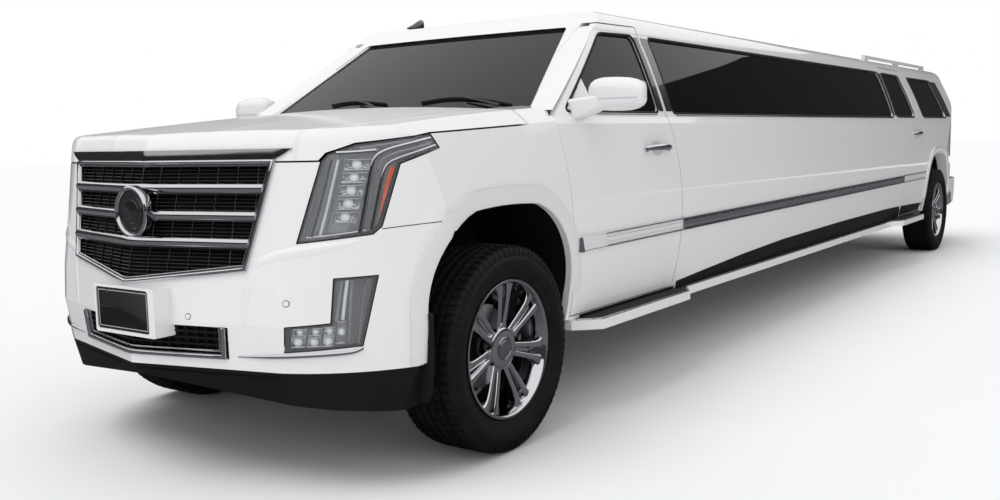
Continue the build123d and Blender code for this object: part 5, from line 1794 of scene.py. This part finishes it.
@dataclass
class DoorMirror:
    """Round-shouldered mirror: body-colour cap and lower shell, arm and glass."""

    middle: Flat = (fa(0.635), 1.394)
    inner: float = 0.994
    outer: float = 1.251

    def ring(self, t: float, start: float, end: float, count: int, grow: float = 0.0) -> list[Vector]:
        """Part of one cross-section of the head.

        Args:
            t: 0 at the inner end and 1 at the outer end.
            start: first angle in degrees.
            end: last angle in degrees.
            count: number of points.
            grow: added to the section's size.

        Returns:
            The points.
        """
        x = self.inner + (self.outer - self.inner) * t
        full = (1 - abs(2 * t - 1) ** 3.4) ** 0.5
        high = 0.073 * (0.3 + 0.7 * full) * (1 - 0.06 * t) + grow
        deep = 0.054 * (0.35 + 0.65 * full) + grow
        points = []
        for k in range(count):
            turn = math.radians(start + (end - start) * k / (count - 1))
            c, s = math.cos(turn), math.sin(turn)
            y = deep * math.copysign(abs(c) ** 0.72, c)
            z = high * math.copysign(abs(s) ** 0.72, s)
            points.append(
                Vector((x, self.middle[0] + max(-deep, min(y, deep * 0.8)), self.middle[1] + z - 0.01 * t))
            )
        return points

    def build(self) -> None:
        """Makes the mirror on both doors."""
        steps = [0.0, 0.02, 0.06, 0.14, 0.26, 0.42, 0.58, 0.74, 0.86, 0.94, 0.98, 1.0]
        cap = solid([self.ring(t, -28, 208, 28) for t in steps])
        pair("mirror_cap_left", cap, Kind.WHITE, "front_door_left", replaces=("mirror_left",), angle=60.0)
        shell = solid([self.ring(t, 206, 334, 16, -0.001) for t in steps])
        pair("mirror_shell_left", shell, Kind.WHITE, "front_door_left", angle=60.0)
        y, z = self.middle
        pane = round_corners([(1.015, -0.052), (1.236, -0.052), (1.236, 0.048), (1.015, 0.052)], 0.03, 6)
        glass = solid([[Vector((a, y + out, z + b)) for a, b in pane] for out in (0.0425, 0.0455)])
        pair("mirror_glass_left", glass, Kind.CHROME, "front_door_left")
        spots = (1.06, 1.1, 1.15, 1.2, 1.232)
        path = [Vector((x, y - 0.053 + 0.02 * ((x - 1.12) / 0.13) ** 4, 1.372)) for x in spots]
        lamp = sweep(path, [Look.FRONT.out] * len(path), bead(0.008, 0.003))
        pair("mirror_marker_left", lamp, Kind.GUIDE, "front_door_left")
        rows = []
        for x, low, high, front, back in (
            (0.925, 1.286, 1.374, 0.556, 0.676), (0.96, 1.292, 1.378, 0.56, 0.674),
            (0.995, 1.304, 1.382, 0.572, 0.668), (1.06, 1.33, 1.39, 0.588, 0.664),
            (1.12, 1.338, 1.39, 0.596, 0.66),
        ):
            flat = round_corners(
                [(fa(front), low), (fa(back), low), (fa(back), high), (fa(front), high)], 0.016, 4,
            )
            rows.append([Vector((x, y, z)) for y, z in flat])
        pair("mirror_arm_left", solid(rows), Kind.WHITE, "front_door_left", angle=60.0)
        sail = [(fa(0.545), 1.332), (fa(0.79), 1.332), (fa(0.742), 1.47), (fa(0.728), 1.462)]
        pair("mirror_sail_left", SIDE_SKIN.panel(sail, 0.004, 0.008, 0.03), Kind.WHITE, "front_door_left")


# ---------------------------------------------------------------- glass, wipers and roof
@dataclass
class Glazing:
    """Screen edge band, wipers, antenna and roof trims."""

    screen: tuple[Flat, ...] = ((-0.835, 1.272), (-0.64, 1.732), (0.64, 1.732), (0.835, 1.272))
    band: float = 0.014

    def build(self) -> None:
        """Makes and dresses the glazing."""
        glass = Skin(Look.FRONT, "windscreen")
        outline = round_corners(self.screen, 0.03, 5)
        band = glass.panel(
            inset(outline, 0.002), 0.0012, 0.002, 0.03, holes=(inset(outline, self.band + 0.002),),
        )
        piece("screen_edge_band", band, Kind.SATIN)
        self.wipers(glass)
        self.screen_pillars(glass)
        self.antenna()

    @staticmethod
    def wipers(glass: Skin) -> None:
        """Blade and arm of both wipers."""
        section = [
            (-0.004, 0.002), (-0.0015, 0.007), (-0.004, 0.009), (0.0, 0.013), (0.004, 0.009), (0.0015, 0.007),
            (0.004, 0.002),
        ]
        for name, line, arm in (
            (
                "left", [(0.693, 1.352), (0.565, 1.374), (0.43, 1.39), (0.3, 1.393), (0.182, 1.38)],
                [(0.64, 1.345), (0.54, 1.366), (0.42, 1.388)],
            ),
            (
                "right", [(-0.03, 1.381), (-0.125, 1.391), (-0.232, 1.399), (-0.331, 1.398), (-0.413, 1.388)],
                [(-0.06, 1.352), (-0.14, 1.378), (-0.235, 1.397)],
            ),
        ):
            piece(f"wiper_blade_{name}", glass.strip(curve(line, 5), section, 0.0, 0.05), Kind.SATIN)
            bar = glass.strip(curve(arm, 5), oval(0.015, 0.007, 10), 0.015, 0.05, sizes=(1.2, 1.0, 0.7))
            piece(f"wiper_arm_{name}", bar, Kind.SATIN)

    def screen_pillars(self, glass: Skin) -> None:
        """Painted trims from the screen's edge over the pillars, up to the roof."""
        (wide, low), (narrow, high) = self.screen[3], self.screen[2]
        rows = []
        for k in range(25):
            z = low + 0.056 + (high - low - 0.058) * k / 24
            edge = wide + (narrow - wide) * (z - low) / (high - low)
            face = fa(0.462 + (z - 1.354) * 1.54) - 0.002
            side = SIDE_SKIN.meet(face + 0.07, z)[0].x - 0.003
            first = glass.meet(edge - 0.014, z)[0] + Vector((0.0, -0.005, 0.003))
            spots = (
                (edge + 0.004, face), ((edge + side) / 2, face - 0.001), (side - 0.012, face),
                (side, face + 0.004),
            )
            front = [first, *(Vector((x, y, z)) for x, y in spots)]
            rows.append(front + [point + Vector((0.0, 0.016, 0.0)) for point in reversed(front[:-1])])
        pair("screen_pillar_left", solid(rows), Kind.WHITE)

    def antenna(self) -> None:
        """Shark-fin aerial on the roof."""
        x = -0.52
        foot, _ = Skin(Look.TOP, "roof_panel").meet(x, fa(1.3))
        rows = []
        for t, half, high in (
            (0.0, 0.002, 0.004), (0.12, 0.012, 0.012), (0.35, 0.02, 0.026), (0.6, 0.021, 0.046),
            (0.8, 0.017, 0.06), (0.94, 0.01, 0.056), (1.0, 0.003, 0.02),
        ):
            along = foot.y + (t - 0.5) * 0.15
            ring = []
            for k in range(12):
                turn = math.pi * k / 11
                ring.append(
                    Vector((x + half * math.cos(turn), along, foot.z - 0.004 + high * math.sin(turn) ** 0.7))
                )
            rows.append(ring)
        piece("roof_aerial", solid(rows), Kind.PIANO, angle=60.0)


# ---------------------------------------------------------------- tail
@dataclass
class Tail:
    """Tail-lamp blades, garnish, blank plate, bumper trims and the high brake lamp."""

    plate: Box = (-0.1524, 0.958, 0.1524, 1.1104)
    cells: int = 7
    cell_foot: float = 0.8
    cell_pitch: float = 0.068
    cell_height: float = 0.056
    sensors: tuple[Flat, ...] = ((0.26, 0.56), (0.58, 0.6))
    filler: Flat = (ra(0.735), 1.065)
    gate: Skin = field(default_factory=lambda: Skin(Look.REAR, "tailgate"))
    bumper: Skin = field(default_factory=lambda: Skin(Look.REAR, "rear_bumper"))

    def lamps(self) -> None:
        """Upright blades and red cells of the tail lamps."""
        skin = Skin(Look.REAR, "tail_lamps")
        for name, x_foot, x_head, width, kind in (
            ("blade", 0.8, 0.786, 0.02, Kind.GUIDE), ("inner", 0.774, 0.762, 0.007, Kind.CHROME),
            ("outer", 0.846, 0.83, 0.012, Kind.DARK_CHROME),
        ):
            line = [(x_foot, 0.772), (x_foot, 0.95), ((x_foot + x_head) / 2 + 0.004, 1.12), (x_head, 1.282)]
            pair(f"tail_{name}_left", skin.strip(curve(line, 6), bead(width, 0.006), 0.0, 0.05), kind)
        for k in range(self.cells):
            foot = self.cell_foot + k * self.cell_pitch
            head = foot + self.cell_height
            cell = round_corners([(0.808, foot), (0.842, foot), (0.84, head), (0.807, head)], 0.006, 3)
            pair(f"tail_cell_{k}_left", skin.panel(cell, 0.0025, 0.004, 0.01, dome=0.003), Kind.RED)

    def garnish(self) -> None:
        """Chrome bar across the tailgate."""
        bar = [(-0.56, 1.19), (-0.3, 1.196), (0.0, 1.198), (0.3, 1.196), (0.56, 1.19)]
        section = [
            (-0.02, -0.004), (-0.02, 0.006), (-0.012, 0.013), (0.004, 0.016), (0.014, 0.011), (0.016, 0.008),
            (0.02, 0.006), (0.02, -0.004),
        ]
        made = self.gate.strip(bar, section, 0.0, 0.06, sizes=(0.6, 1.0, 1.0, 0.6))
        piece("tail_garnish", made, Kind.CHROME, "tailgate")

    def number_plate(self) -> None:
        """Blank plate in its recess, with a lamp at each side above it."""
        gate = self.gate
        recess = round_corners([(-0.235, 0.93), (0.235, 0.93), (0.262, 1.15), (-0.262, 1.15)], 0.035, 6)
        piece("rear_plate_recess", gate.panel(recess, 0.002, 0.005, 0.04), Kind.SATIN, "tailgate")
        rim = gate.strip(recess, bead(0.012, 0.01), 0.0, 0.05, closed=True)
        piece("rear_plate_rim", rim, Kind.WHITE, "tailgate")
        plate = round_box(*self.plate, PLATE_CORNER)
        piece("rear_plate", gate.panel(plate, 0.007, 0.003, 0.04), Kind.PIANO, "tailgate")
        edge = gate.strip(inset(plate, 0.005), bead(0.004, 0.0015), 0.007, 0.05, closed=True)
        piece("rear_plate_edge", edge, Kind.PIANO, "tailgate")
        boxes = [round_box(x - 0.03, 1.124, x + 0.03, 1.138, 0.005, 3) for x in (-0.09, 0.09)]
        lights = together(gate.panel(box, 0.006, 0.004, 0.02) for box in boxes)
        piece("rear_plate_lights", lights, Kind.LED, "tailgate")

    def back_window(self) -> None:
        """High brake lamp, rubber and wiper of the back window."""
        stop = [(-0.17, 1.742), (0.17, 1.742), (0.16, 1.764), (-0.16, 1.764)]
        piece("high_stop_lamp", self.gate.panel(stop, 0.004, 0.006, 0.03, dome=0.003), Kind.RED, "tailgate")
        window = round_corners([(-0.64, 1.296), (0.64, 1.296), (0.56, 1.7), (-0.56, 1.7)], 0.04, 6)
        seal = self.gate.strip(inset(window, -0.004), bead(0.014, 0.004), 0.0, 0.06, closed=True)
        piece("back_window_seal", seal, Kind.SEAL, "tailgate")
        glass = Skin(Look.REAR, "tailgate_glass", "tailgate")
        arm = [(0.0, 1.262), (-0.07, 1.33), (-0.2, 1.362), (-0.3, 1.372)]
        bar = glass.strip(curve(arm, 6), oval(0.02, 0.012, 10), 0.018, 0.04, sizes=(1.5, 1.0, 0.6))
        piece("rear_wiper", bar, Kind.SATIN, "tailgate")
        blade = [(-0.4, 1.366), (-0.2, 1.37), (0.02, 1.352)]
        rubber = glass.strip(curve(blade, 6), bead(0.008, 0.016), 0.002, 0.04)
        piece("rear_wiper_blade", rubber, Kind.SATIN, "tailgate")

    def bumper_trims(self) -> None:
        """Apron, step pad with its ridges, reflectors and parking sensors."""
        bumper = self.bumper
        lower = [(-0.79, 0.392), (0.79, 0.392), (0.76, 0.468), (-0.76, 0.468)]
        piece("rear_apron", bumper.panel(lower, 0.003, 0.006, 0.05), Kind.BLACK)
        pad = [(-0.6, 0.655), (0.6, 0.655), (0.62, 0.684), (-0.62, 0.684)]
        piece("rear_step_pad", bumper.panel(pad, 0.003, 0.006, 0.05), Kind.BLACK)
        heights = [0.661 + 0.008 * k for k in range(3)]
        ridge = bead(0.0035, 0.0022)
        lines = together(bumper.strip([(-0.59, z), (0.0, z), (0.59, z)], ridge, 0.003, 0.06) for z in heights)
        piece("rear_step_lines", lines, Kind.SATIN)
        cell = round_corners([(0.64, 0.54), (0.76, 0.544), (0.76, 0.566), (0.64, 0.566)], 0.006, 3)
        pair("rear_reflector_left", bumper.panel(cell, 0.003, 0.005, 0.02, dome=0.002), Kind.RED)
        for k, (x, z) in enumerate(self.sensors):
            disc = bumper.panel(ellipse(x, z, SENSOR_R, SENSOR_R, 16), 0.0012, 0.004, 0.005, dome=0.0006)
            pair(f"rear_sensor_left_{k}", disc, Kind.WHITE)

    def gaps(self) -> None:
        """Gap round the filler door and the dark line under the left lamp."""
        door = ellipse(*self.filler, 0.088, 0.08, 32)
        gap = SIDE_SKIN.strip(door, slab(0.0016, -0.001, 0.0004), 0.0, 0.03, closed=True)
        piece("filler_door_gap", gap, Kind.SEAL)
        back = Skin(Look.REAR, "tailgate", "tail_lamps", "body_side_left", "body_side_right")
        line = back.strip([(0.9, 0.752), (0.84, 0.752)], bead(0.004, 0.002), 0.0, 0.05)
        piece("lamp_gap_shine", line, Kind.SEAL)

    def build(self) -> None:
        """Makes and dresses the tail."""
        self.lamps()
        self.garnish()
        self.number_plate()
        self.back_window()
        self.bumper_trims()
        self.gaps()


# ---------------------------------------------------------------- cabin
@dataclass(frozen=True)
class Pad:
    """One cushion: half sizes, sewn channels, the axis they follow each other on, mesh size and most swell."""

    half: Flat3
    channels: int
    along: int
    voxel: float = 0.012
    cap: float = 0.02


@dataclass
class Upholstery:
    """Padded seats of the cab and the lounge, inflated as cloth."""

    bench_seats: int = 5
    bench_front: float = fa(2.25)
    bench_rear: float = ra(-1.85)
    bench_gap: float = 0.012
    rear_seats: int = 3
    rear_pitch: float = 0.392
    made: dict[Pad, bpy.types.Mesh] = field(default_factory=dict)

    def cushion(self, pad: Pad) -> bpy.types.Mesh:
        """A crowned cushion centred on the origin, simulated once for each size.

        Args:
            pad: its sizes.

        Returns:
            The mesh.
        """
        if pad in self.made:
            return self.made[pad]
        hx, hy, hz = pad.half
        shape = brick((-hx, -hy, -hz), (hx, hy, hz), min(pad.half) * 0.42)
        mesh = bpy.data.meshes.new("cushion")
        mesh.from_pydata([tuple(point) for point in shape.points], [], shape.faces)
        body = bpy.data.objects.new("cushion", mesh)
        bpy.context.scene.collection.objects.link(body)
        remesh = body.modifiers.new("even", "REMESH")
        remesh.mode, remesh.voxel_size = "VOXEL", pad.voxel
        mesh = self.applied(body)
        rest = [vertex.co.copy() for vertex in mesh.vertices]
        cloth = body.modifiers.new("fill", "CLOTH")
        cloth.settings.use_pressure = True
        cloth.settings.uniform_pressure_force = 4.0
        cloth.settings.effector_weights.gravity = 0.0
        cloth.settings.quality = 4
        for frame in range(1, SWELL_FRAMES + 1):
            bpy.context.scene.frame_set(frame)
        mesh = self.applied(body)
        bpy.context.scene.frame_set(1)
        for vertex, start in zip(mesh.vertices, rest):
            move = vertex.co - start
            if move.length > pad.cap:
                vertex.co = start + move.normalized() * pad.cap
        self.sew(mesh, pad)
        divide = body.modifiers.new("round", "SUBSURF")
        divide.levels = divide.render_levels = 1
        mesh = self.applied(body)
        bpy.data.objects.remove(body)
        self.made[pad] = mesh
        return mesh

    @staticmethod
    def applied(body: bpy.types.Object) -> bpy.types.Mesh:
        """Bakes an object's modifiers into its mesh."""
        graph = bpy.context.evaluated_depsgraph_get()
        mesh = bpy.data.meshes.new_from_object(body.evaluated_get(graph), depsgraph=graph)
        body.modifiers.clear()
        body.data = mesh
        return mesh

    @staticmethod
    def sew(mesh: bpy.types.Mesh, pad: Pad) -> None:
        """Pulls sewn channels and the edge seam in."""
        half = pad.half[pad.along]
        high = pad.half[2]
        for vertex in mesh.vertices:
            at = vertex.co[pad.along]
            crown = max(0.0, vertex.co.z / high)
            for k in range(pad.channels):
                line = -half + 2 * half * (k + 1) / (pad.channels + 1)
                vertex.co.z -= 0.014 * crown * math.exp(-(((at - line) / 0.013) ** 2))
            side = max(abs(vertex.co.x) / pad.half[0], abs(vertex.co.y) / pad.half[1])
            if side > 0.9:
                pull = 0.006 * math.exp(-(((vertex.co.z - high * 0.62) / 0.008) ** 2))
                vertex.co.x -= math.copysign(pull, vertex.co.x)
                vertex.co.y -= math.copysign(pull, vertex.co.y)

    def put(self, name: str, pad: Pad, place: Matrix, replaces: Sequence[str] = ()) -> None:
        """Places one cushion.

        Args:
            name: the piece's name.
            pad: its sizes.
            place: where its middle goes and how it leans.
            replaces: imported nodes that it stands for.
        """
        mesh = self.cushion(pad).copy()
        mesh.name = name
        mesh.transform(place)
        mesh.materials.clear()
        mesh.materials.append(material(Kind.LEATHER))
        mesh.shade_smooth()
        made = bpy.data.objects.new(name, mesh)
        bpy.context.scene.collection.objects.link(made)
        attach(made, "body")
        if replaces:
            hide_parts(*replaces)
        LOG.info("cushion %s: %d faces", name, len(mesh.polygons))

    def cab(self) -> None:
        """Driver's and passenger's seats."""
        seat = Pad((0.238, 0.212, 0.07), 3, 1)
        back = Pad((0.232, 0.262, 0.052), 4, 1)
        rest = Pad((0.112, 0.082, 0.038), 0, 1, 0.01, 0.012)
        y = fa(1.19)
        for side, x in (("left", 0.4), ("right", -0.4)):
            stands_for = ("front_seats",) if side == "left" else ()
            self.put(f"cab_seat_{side}", seat, placed(x, y + 0.185, 0.872), stands_for)
            self.put(f"cab_back_{side}", back, placed(x, y + 0.5, 1.19) @ turned("X", 73.0))
            self.put(f"cab_headrest_{side}", rest, placed(x, y + 0.57, 1.545) @ turned("X", 84.0))
            base = brick((x - 0.225, y - 0.02, 0.574), (x + 0.225, y + 0.48, 0.8), 0.02)
            piece(f"cab_seat_base_{side}", base, Kind.TRIM)
            posts = together(
                tube([(at, y + 0.56, 1.4), (at, y + 0.57, 1.5)], 0.006, 12, (0.0, 1.0, 0.0))
                for at in (x - 0.05, x + 0.05)
            )
            piece(f"cab_headrest_posts_{side}", posts, Kind.CHROME)

    def lounge(self) -> None:
        """Side bench and rear bench of the long cabin."""
        y0, y1 = self.bench_front, self.bench_rear
        width = (y1 - y0) / self.bench_seats
        half = width / 2 - self.bench_gap
        seat = Pad((0.2, half, 0.07), 3, 1, 0.014)
        back = Pad((0.14, half, 0.048), 2, 1, 0.014)
        for k in range(self.bench_seats):
            y = y0 + width * (k + 0.5)
            self.put(f"lounge_seat_{k}", seat, placed(-0.618, y, 0.892), ("lounge_seats",) if k == 0 else ())
            self.put(f"lounge_back_{k}", back, placed(-0.768, y, 1.138) @ turned("Y", 90.0))
        plinth = brick((-0.8, y0 + 0.004, 0.574), (-0.43, y1 - 0.004, 0.812), 0.012)
        piece("lounge_plinth", plinth, Kind.TRIM)
        seat = Pad((0.186, 0.195, 0.062), 2, 0, 0.012)
        back = Pad((0.186, 0.15, 0.044), 2, 0, 0.012)
        for k in range(self.rear_seats):
            x = (k - (self.rear_seats - 1) / 2) * self.rear_pitch
            self.put(f"rear_seat_{k}", seat, placed(x, ra(0.06), 0.985))
            self.put(f"rear_back_{k}", back, placed(x, ra(0.357), 1.232) @ turned("X", 88.0))
        plinth = brick((-0.575, ra(-0.14), 0.714), (0.575, ra(0.28), 0.905), 0.012)
        piece("rear_bench_plinth", plinth, Kind.TRIM)

    def build(self) -> None:
        """Makes every seat."""
        self.cab()
        self.lounge()


@dataclass
class Cabin:
    """Linings, door cards, carpet, dash fittings and engine dress."""

    floor_z: float = 0.574
    bar_front: float = fa(2.6)
    bar_rear: float = fa(4.3)
    bar_z: float = 0.98
    ribs: int = 8
    rib_pitch: float = 0.075
    fins: int = 28
    fin_pitch: float = 0.02

    @staticmethod
    def door_cards() -> None:
        """Card, armrest and pull of each door."""
        section = [(-0.022, 0.0), (-0.022, 0.034), (-0.012, 0.044), (0.012, 0.044), (0.02, 0.03), (0.02, 0.0)]
        for name, outline in (
            (
                "front_door_left",
                [
                    (fa(0.62), 0.52), (fa(1.4), 0.51), (fa(1.44), 0.9), (fa(1.4), 1.235), (fa(0.56), 1.235),
                    (fa(0.56), 0.9),
                ],
            ),
            (
                "rear_door_left",
                [
                    (ra(-1.34), 0.52), (ra(-0.72), 0.52), (ra(-0.64), 0.9), (ra(-0.66), 1.235),
                    (ra(-1.4), 1.235), (ra(-1.37), 0.9),
                ],
            ),
        ):
            skin = Skin(Look.INSIDE, name)
            card = skin.panel(round_corners(outline, 0.04, 5), 0.006, 0.008, 0.09)
            pair(f"card_{name}", card, Kind.TRIM, name)
            first, last = min(outline)[0], max(outline)[0]
            rest = skin.strip([(first + 0.12, 0.985), (last - 0.12, 0.985)], section, 0.0, 0.1)
            pair(f"armrest_{name}", rest, Kind.LEATHER, name)
            pull = skin.strip([(first + 0.16, 1.12), (first + 0.26, 1.12)], oval(0.022, 0.01, 10), 0.014, 0.02)
            pair(f"inner_pull_{name}", pull, Kind.CHROME, name)

    @staticmethod
    def linings() -> None:
        """Wall cards with their light strips, headliner and carpets."""
        wall, floor = Skin(Look.INSIDE, "body_side_left"), Skin(Look.TOP, "floor_pan")
        card = [(fa(1.66), 0.6), (ra(-1.62), 0.6), (ra(-1.62), 1.268), (fa(1.66), 1.268)]
        pair("lounge_wall_left", wall.panel(card, 0.005, 0.006, 0.16), Kind.TRIM)
        glow = wall.strip([(fa(1.7), 1.276), (ra(-1.66), 1.276)], bead(0.008, 0.006), 0.004, 0.3)
        pair("lounge_glow_left", glow, Kind.GUIDE)
        for name, skin, half, front, rear, sizes, kind in (
            (
                "headliner", Skin(Look.BELOW, "roof_panel"), 0.64, fa(1.3), ra(0.86), (0.004, 0.006, 0.16),
                Kind.LINING,
            ),
            ("carpet", floor, 0.7, fa(0.62), ra(-0.86), (0.006, 0.007, 0.2), Kind.CARPET),
            ("cargo_carpet", floor, 0.56, ra(0.44), ra(1.06), (0.006, 0.007, 0.12), Kind.CARPET),
        ):
            piece(name, skin.panel([(-half, front), (half, front), (half, rear), (-half, rear)], *sizes), kind)

    def bar(self) -> None:
        """Cabinet with a steel worktop along the lounge's left wall."""
        front, rear, top, over = self.bar_front, self.bar_rear, self.bar_z, 0.015
        piece("bar_cabinet", brick((0.455, front, self.floor_z), (0.78, rear, top), 0.014), Kind.PIANO)
        worktop = brick((0.44, front - over, top), (0.79, rear + over, top + 0.024), 0.006)
        piece("bar_worktop", worktop, Kind.CHROME_TOP)

    @staticmethod
    def dash() -> None:
        """Screen, binnacle and vents of the dashboard."""
        skin = Skin(Look.REAR, "dashboard")
        screen = skin.panel(round_box(-0.14, 1.08, 0.14, 1.2, 0.012, 4), 0.004, 0.006, 0.04)
        piece("dash_screen", screen, Kind.PIANO)
        hood = round_corners([(0.26, 1.12), (0.54, 1.12), (0.52, 1.215), (0.28, 1.215)], 0.02, 4)
        piece("dash_binnacle", skin.panel(hood, 0.006, 0.008, 0.03, dome=0.01), Kind.SATIN)
        blades = [(x, z) for x in (-0.7, -0.5, 0.68) for z in (1.135, 1.15, 1.165)]
        blade = bead(0.005, 0.006)
        vents = together(skin.strip([(x - 0.05, z), (x + 0.05, z)], blade, 0.002, 0.05) for x, z in blades)
        piece("dash_vents", vents, Kind.CHROME)

    def engine(self) -> None:
        """Cover with ribs, hose, battery and radiator fins of the engine."""
        cover = brick((-0.26, fa(-0.47), 1.042), (0.26, fa(0.2), 1.075), 0.02)
        piece("engine_cover", cover, Kind.BLACK, bevel=0.004)
        starts = [k * self.rib_pitch for k in range(self.ribs)]
        ribs = together(
            brick((-0.2, fa(-0.42 + y), 1.076), (0.2, fa(-0.395 + y), 1.084), 0.003)
            for y in starts
        )
        piece("engine_cover_ribs", ribs, Kind.CAST)
        run = [(0.3, fa(-0.4), 0.98), (0.42, fa(-0.5), 0.99), (0.44, fa(-0.62), 0.94), (0.36, fa(-0.68), 0.86)]
        piece("radiator_hose", tube(run, 0.028, 16), Kind.SEAL)
        battery = brick((-0.48, fa(-0.34), 0.6), (-0.32, fa(-0.08), 0.82), 0.008)
        piece("battery", battery, Kind.SATIN)
        feet = [k * self.fin_pitch for k in range(self.fins)]
        fins = together(brick((-0.44, fa(-0.7), 0.56 + z), (0.44, fa(-0.66), 0.572 + z), 0.001) for z in feet)
        piece("radiator_fins", fins, Kind.CAST)

    def build(self) -> None:
        """Makes and dresses the cabin's inside."""
        self.door_cards()
        self.linings()
        self.bar()
        self.dash()
        self.engine()


# ---------------------------------------------------------------- studio
SKY_LEVEL = 0.66


@dataclass
class Studio:
    """Camera, soft lamps, pale floor and the dark cards that chrome shows."""

    eye: Flat3 = (3.145, -6.9625, 1.22)
    yaw: float = 0.616
    pitch: float = 0.113
    roll: float = -0.022
    lens: float = 35.816

    def camera(self) -> None:
        """Places the camera."""
        level = math.cos(self.pitch)
        forward = Vector((-math.sin(self.yaw) * level, math.cos(self.yaw) * level, -math.sin(self.pitch)))
        right = Vector((math.cos(self.yaw), math.sin(self.yaw), 0.0))
        up = right.cross(forward)
        across = right * math.cos(self.roll) + up * math.sin(self.roll)
        above = across.cross(forward)
        data = bpy.data.cameras.new("studio_camera")
        data.lens, data.sensor_width = self.lens, 36.0
        data.clip_end = 200.0
        made = bpy.data.objects.new("studio_camera", data)
        matrix = Matrix((across, above, -forward)).transposed().to_4x4()
        matrix.translation = Vector(self.eye)
        made.matrix_world = matrix
        bpy.context.scene.collection.objects.link(made)
        bpy.context.scene.camera = made

    @staticmethod
    def world() -> None:
        """White for the camera, mirrors and glass, a soft even sky as light."""
        sky = Graph("studio", world=True)
        bpy.context.scene.world = sky.material
        path = sky.node("ShaderNodeLightPath")
        soft = sky.node("ShaderNodeBackground", sockets={0: (0.95, 0.97, 1.0, 1.0), 1: SKY_LEVEL})
        white = sky.node("ShaderNodeBackground", sockets={0: (1.0, 1.0, 1.0, 1.0), 1: 1.0})
        shown = Value(sky, path.outputs["Is Camera Ray"])
        for name in ("Is Glossy Ray", "Is Transmission Ray"):
            shown = shown + Value(sky, path.outputs[name])
        last = sky.node("ShaderNodeMixShader", sockets={0: shown, 1: soft.outputs[0], 2: white.outputs[0]})
        sky.node("ShaderNodeOutputWorld", sockets={0: last.outputs[0]})

    @staticmethod
    def lamp(name: str, at: Flat3, power: float, spread: float) -> None:
        """One broad far lamp shining from a place toward the car.

        Args:
            name: its name.
            at: the side it shines from.
            power: its strength.
            spread: how wide it looks from the car, in degrees.
        """
        data = bpy.data.lights.new(name, "SUN")
        data.energy, data.angle = power, math.radians(spread)
        made = bpy.data.objects.new(name, data)
        made.rotation_euler = (-Vector(at)).to_track_quat("-Z", "Y").to_euler()
        made.visible_glossy = False
        bpy.context.scene.collection.objects.link(made)

    @staticmethod
    def card(name: str, corners: Sequence[Flat3], colour: Flat3, seen: bool = True) -> None:
        """A flat studio card, or a flag that only mirrors and glass show."""
        graph = Graph(name)
        speck = graph.noise(2.0, 2.0)
        graph.surface(
            {
                "Base Color": graph.blend(speck, shade(colour, 0.98), colour), "Roughness": 0.9,
                "Specular IOR Level": 0.0,
            }
        )
        mesh = bpy.data.meshes.new(name)
        mesh.from_pydata(list(corners), [], [(0, 1, 2, 3)])
        mesh.materials.append(graph.material)
        made = bpy.data.objects.new(name, mesh)
        bpy.context.scene.collection.objects.link(made)
        if not seen:
            made.visible_camera = made.visible_diffuse = made.visible_transmission = made.visible_shadow = False

    def flags(self) -> None:
        """Dark cards round the car that give chrome and glass their contrast."""
        count, far, high = 12, 40.0, 15.0
        ring = ellipse(0.0, 0.0, far, far, count)
        for k in range(count):
            (x0, y0), (x1, y1) = ring[k], ring[(k + 1) % count]
            corners = [(x0, y0, 0.0), (x1, y1, 0.0), (x1, y1, high), (x0, y0, high)]
            self.card(f"flag_{k}", corners, (0.06, 0.06, 0.06), seen=False)
        ground = [(-30, -30, 0.002), (30, -30, 0.002), (30, 30, 0.002), (-30, 30, 0.002)]
        self.card("flag_ground", ground, (0.16, 0.16, 0.165), seen=False)

    def build(self) -> None:
        """Sets the studio up."""
        self.camera()
        self.world()
        self.card("floor", [(-60, -60, 0), (60, -60, 0), (60, 90, 0), (-60, 90, 0)], (0.97, 0.97, 0.97))
        self.flags()
        self.lamp("key", (-0.35, -0.8, 1.6), 1.15, 40.0)
        self.lamp("side", (1.0, -0.5, 0.55), 0.35, 50.0)
        bpy.context.scene.view_settings.view_transform = "Standard"


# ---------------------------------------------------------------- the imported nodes
CAD_FINISH: dict[str, Kind] = {
    "hood": Kind.HOOD, "frame_rails": Kind.CHASSIS, "floor_pan": Kind.CHASSIS, "wheel_houses": Kind.BLACK,
    "front_suspension": Kind.CHASSIS, "rear_axle": Kind.DISC, "knuckle_left": Kind.DISC,
    "knuckle_right": Kind.DISC, "engine": Kind.CAST, "exhaust": Kind.PIPE, "grille": Kind.CHROME,
    "front_valance": Kind.BLACK, "cowl_panel": Kind.WHITE, "windscreen": Kind.SCREEN,
    # The roof rails take the darker white as painted shade.
    "tail_lamps": Kind.RED, "roof_rails": Kind.FLARE, "running_boards": Kind.WHITE,
    "dashboard": Kind.TRIM, "steering_wheel": Kind.LEATHER,
}


def dress_nodes() -> None:
    """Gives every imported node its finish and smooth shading."""
    for name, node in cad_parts.items():
        kind = CAD_FINISH.get(name)
        if kind is None:
            kind = Kind.TINT if "glass" in name else Kind.WHITE
        node.data.materials.clear()
        node.data.materials.append(material(kind))
        node.data.shade_smooth()
        node.data.set_sharp_from_angle(angle=math.radians(24.0))
        LOG.info("node %s: %s", name, kind.name)


def main() -> None:
    """Builds the car's visual model in order."""
    Studio().build()
    dress_nodes()
    for part in (
        Grille(), Fascia(), headlamp(), fog_lamp(), Wheel(), Sides(), DoorMirror(), Glazing(), Tail(), Cabin(),
        Upholstery(),
    ):
        part.build()
        LOG.info("built %s", type(part).__name__)


if __name__ == "__main__":
    logging.basicConfig(level=logging.INFO, format="%(message)s")
    main()
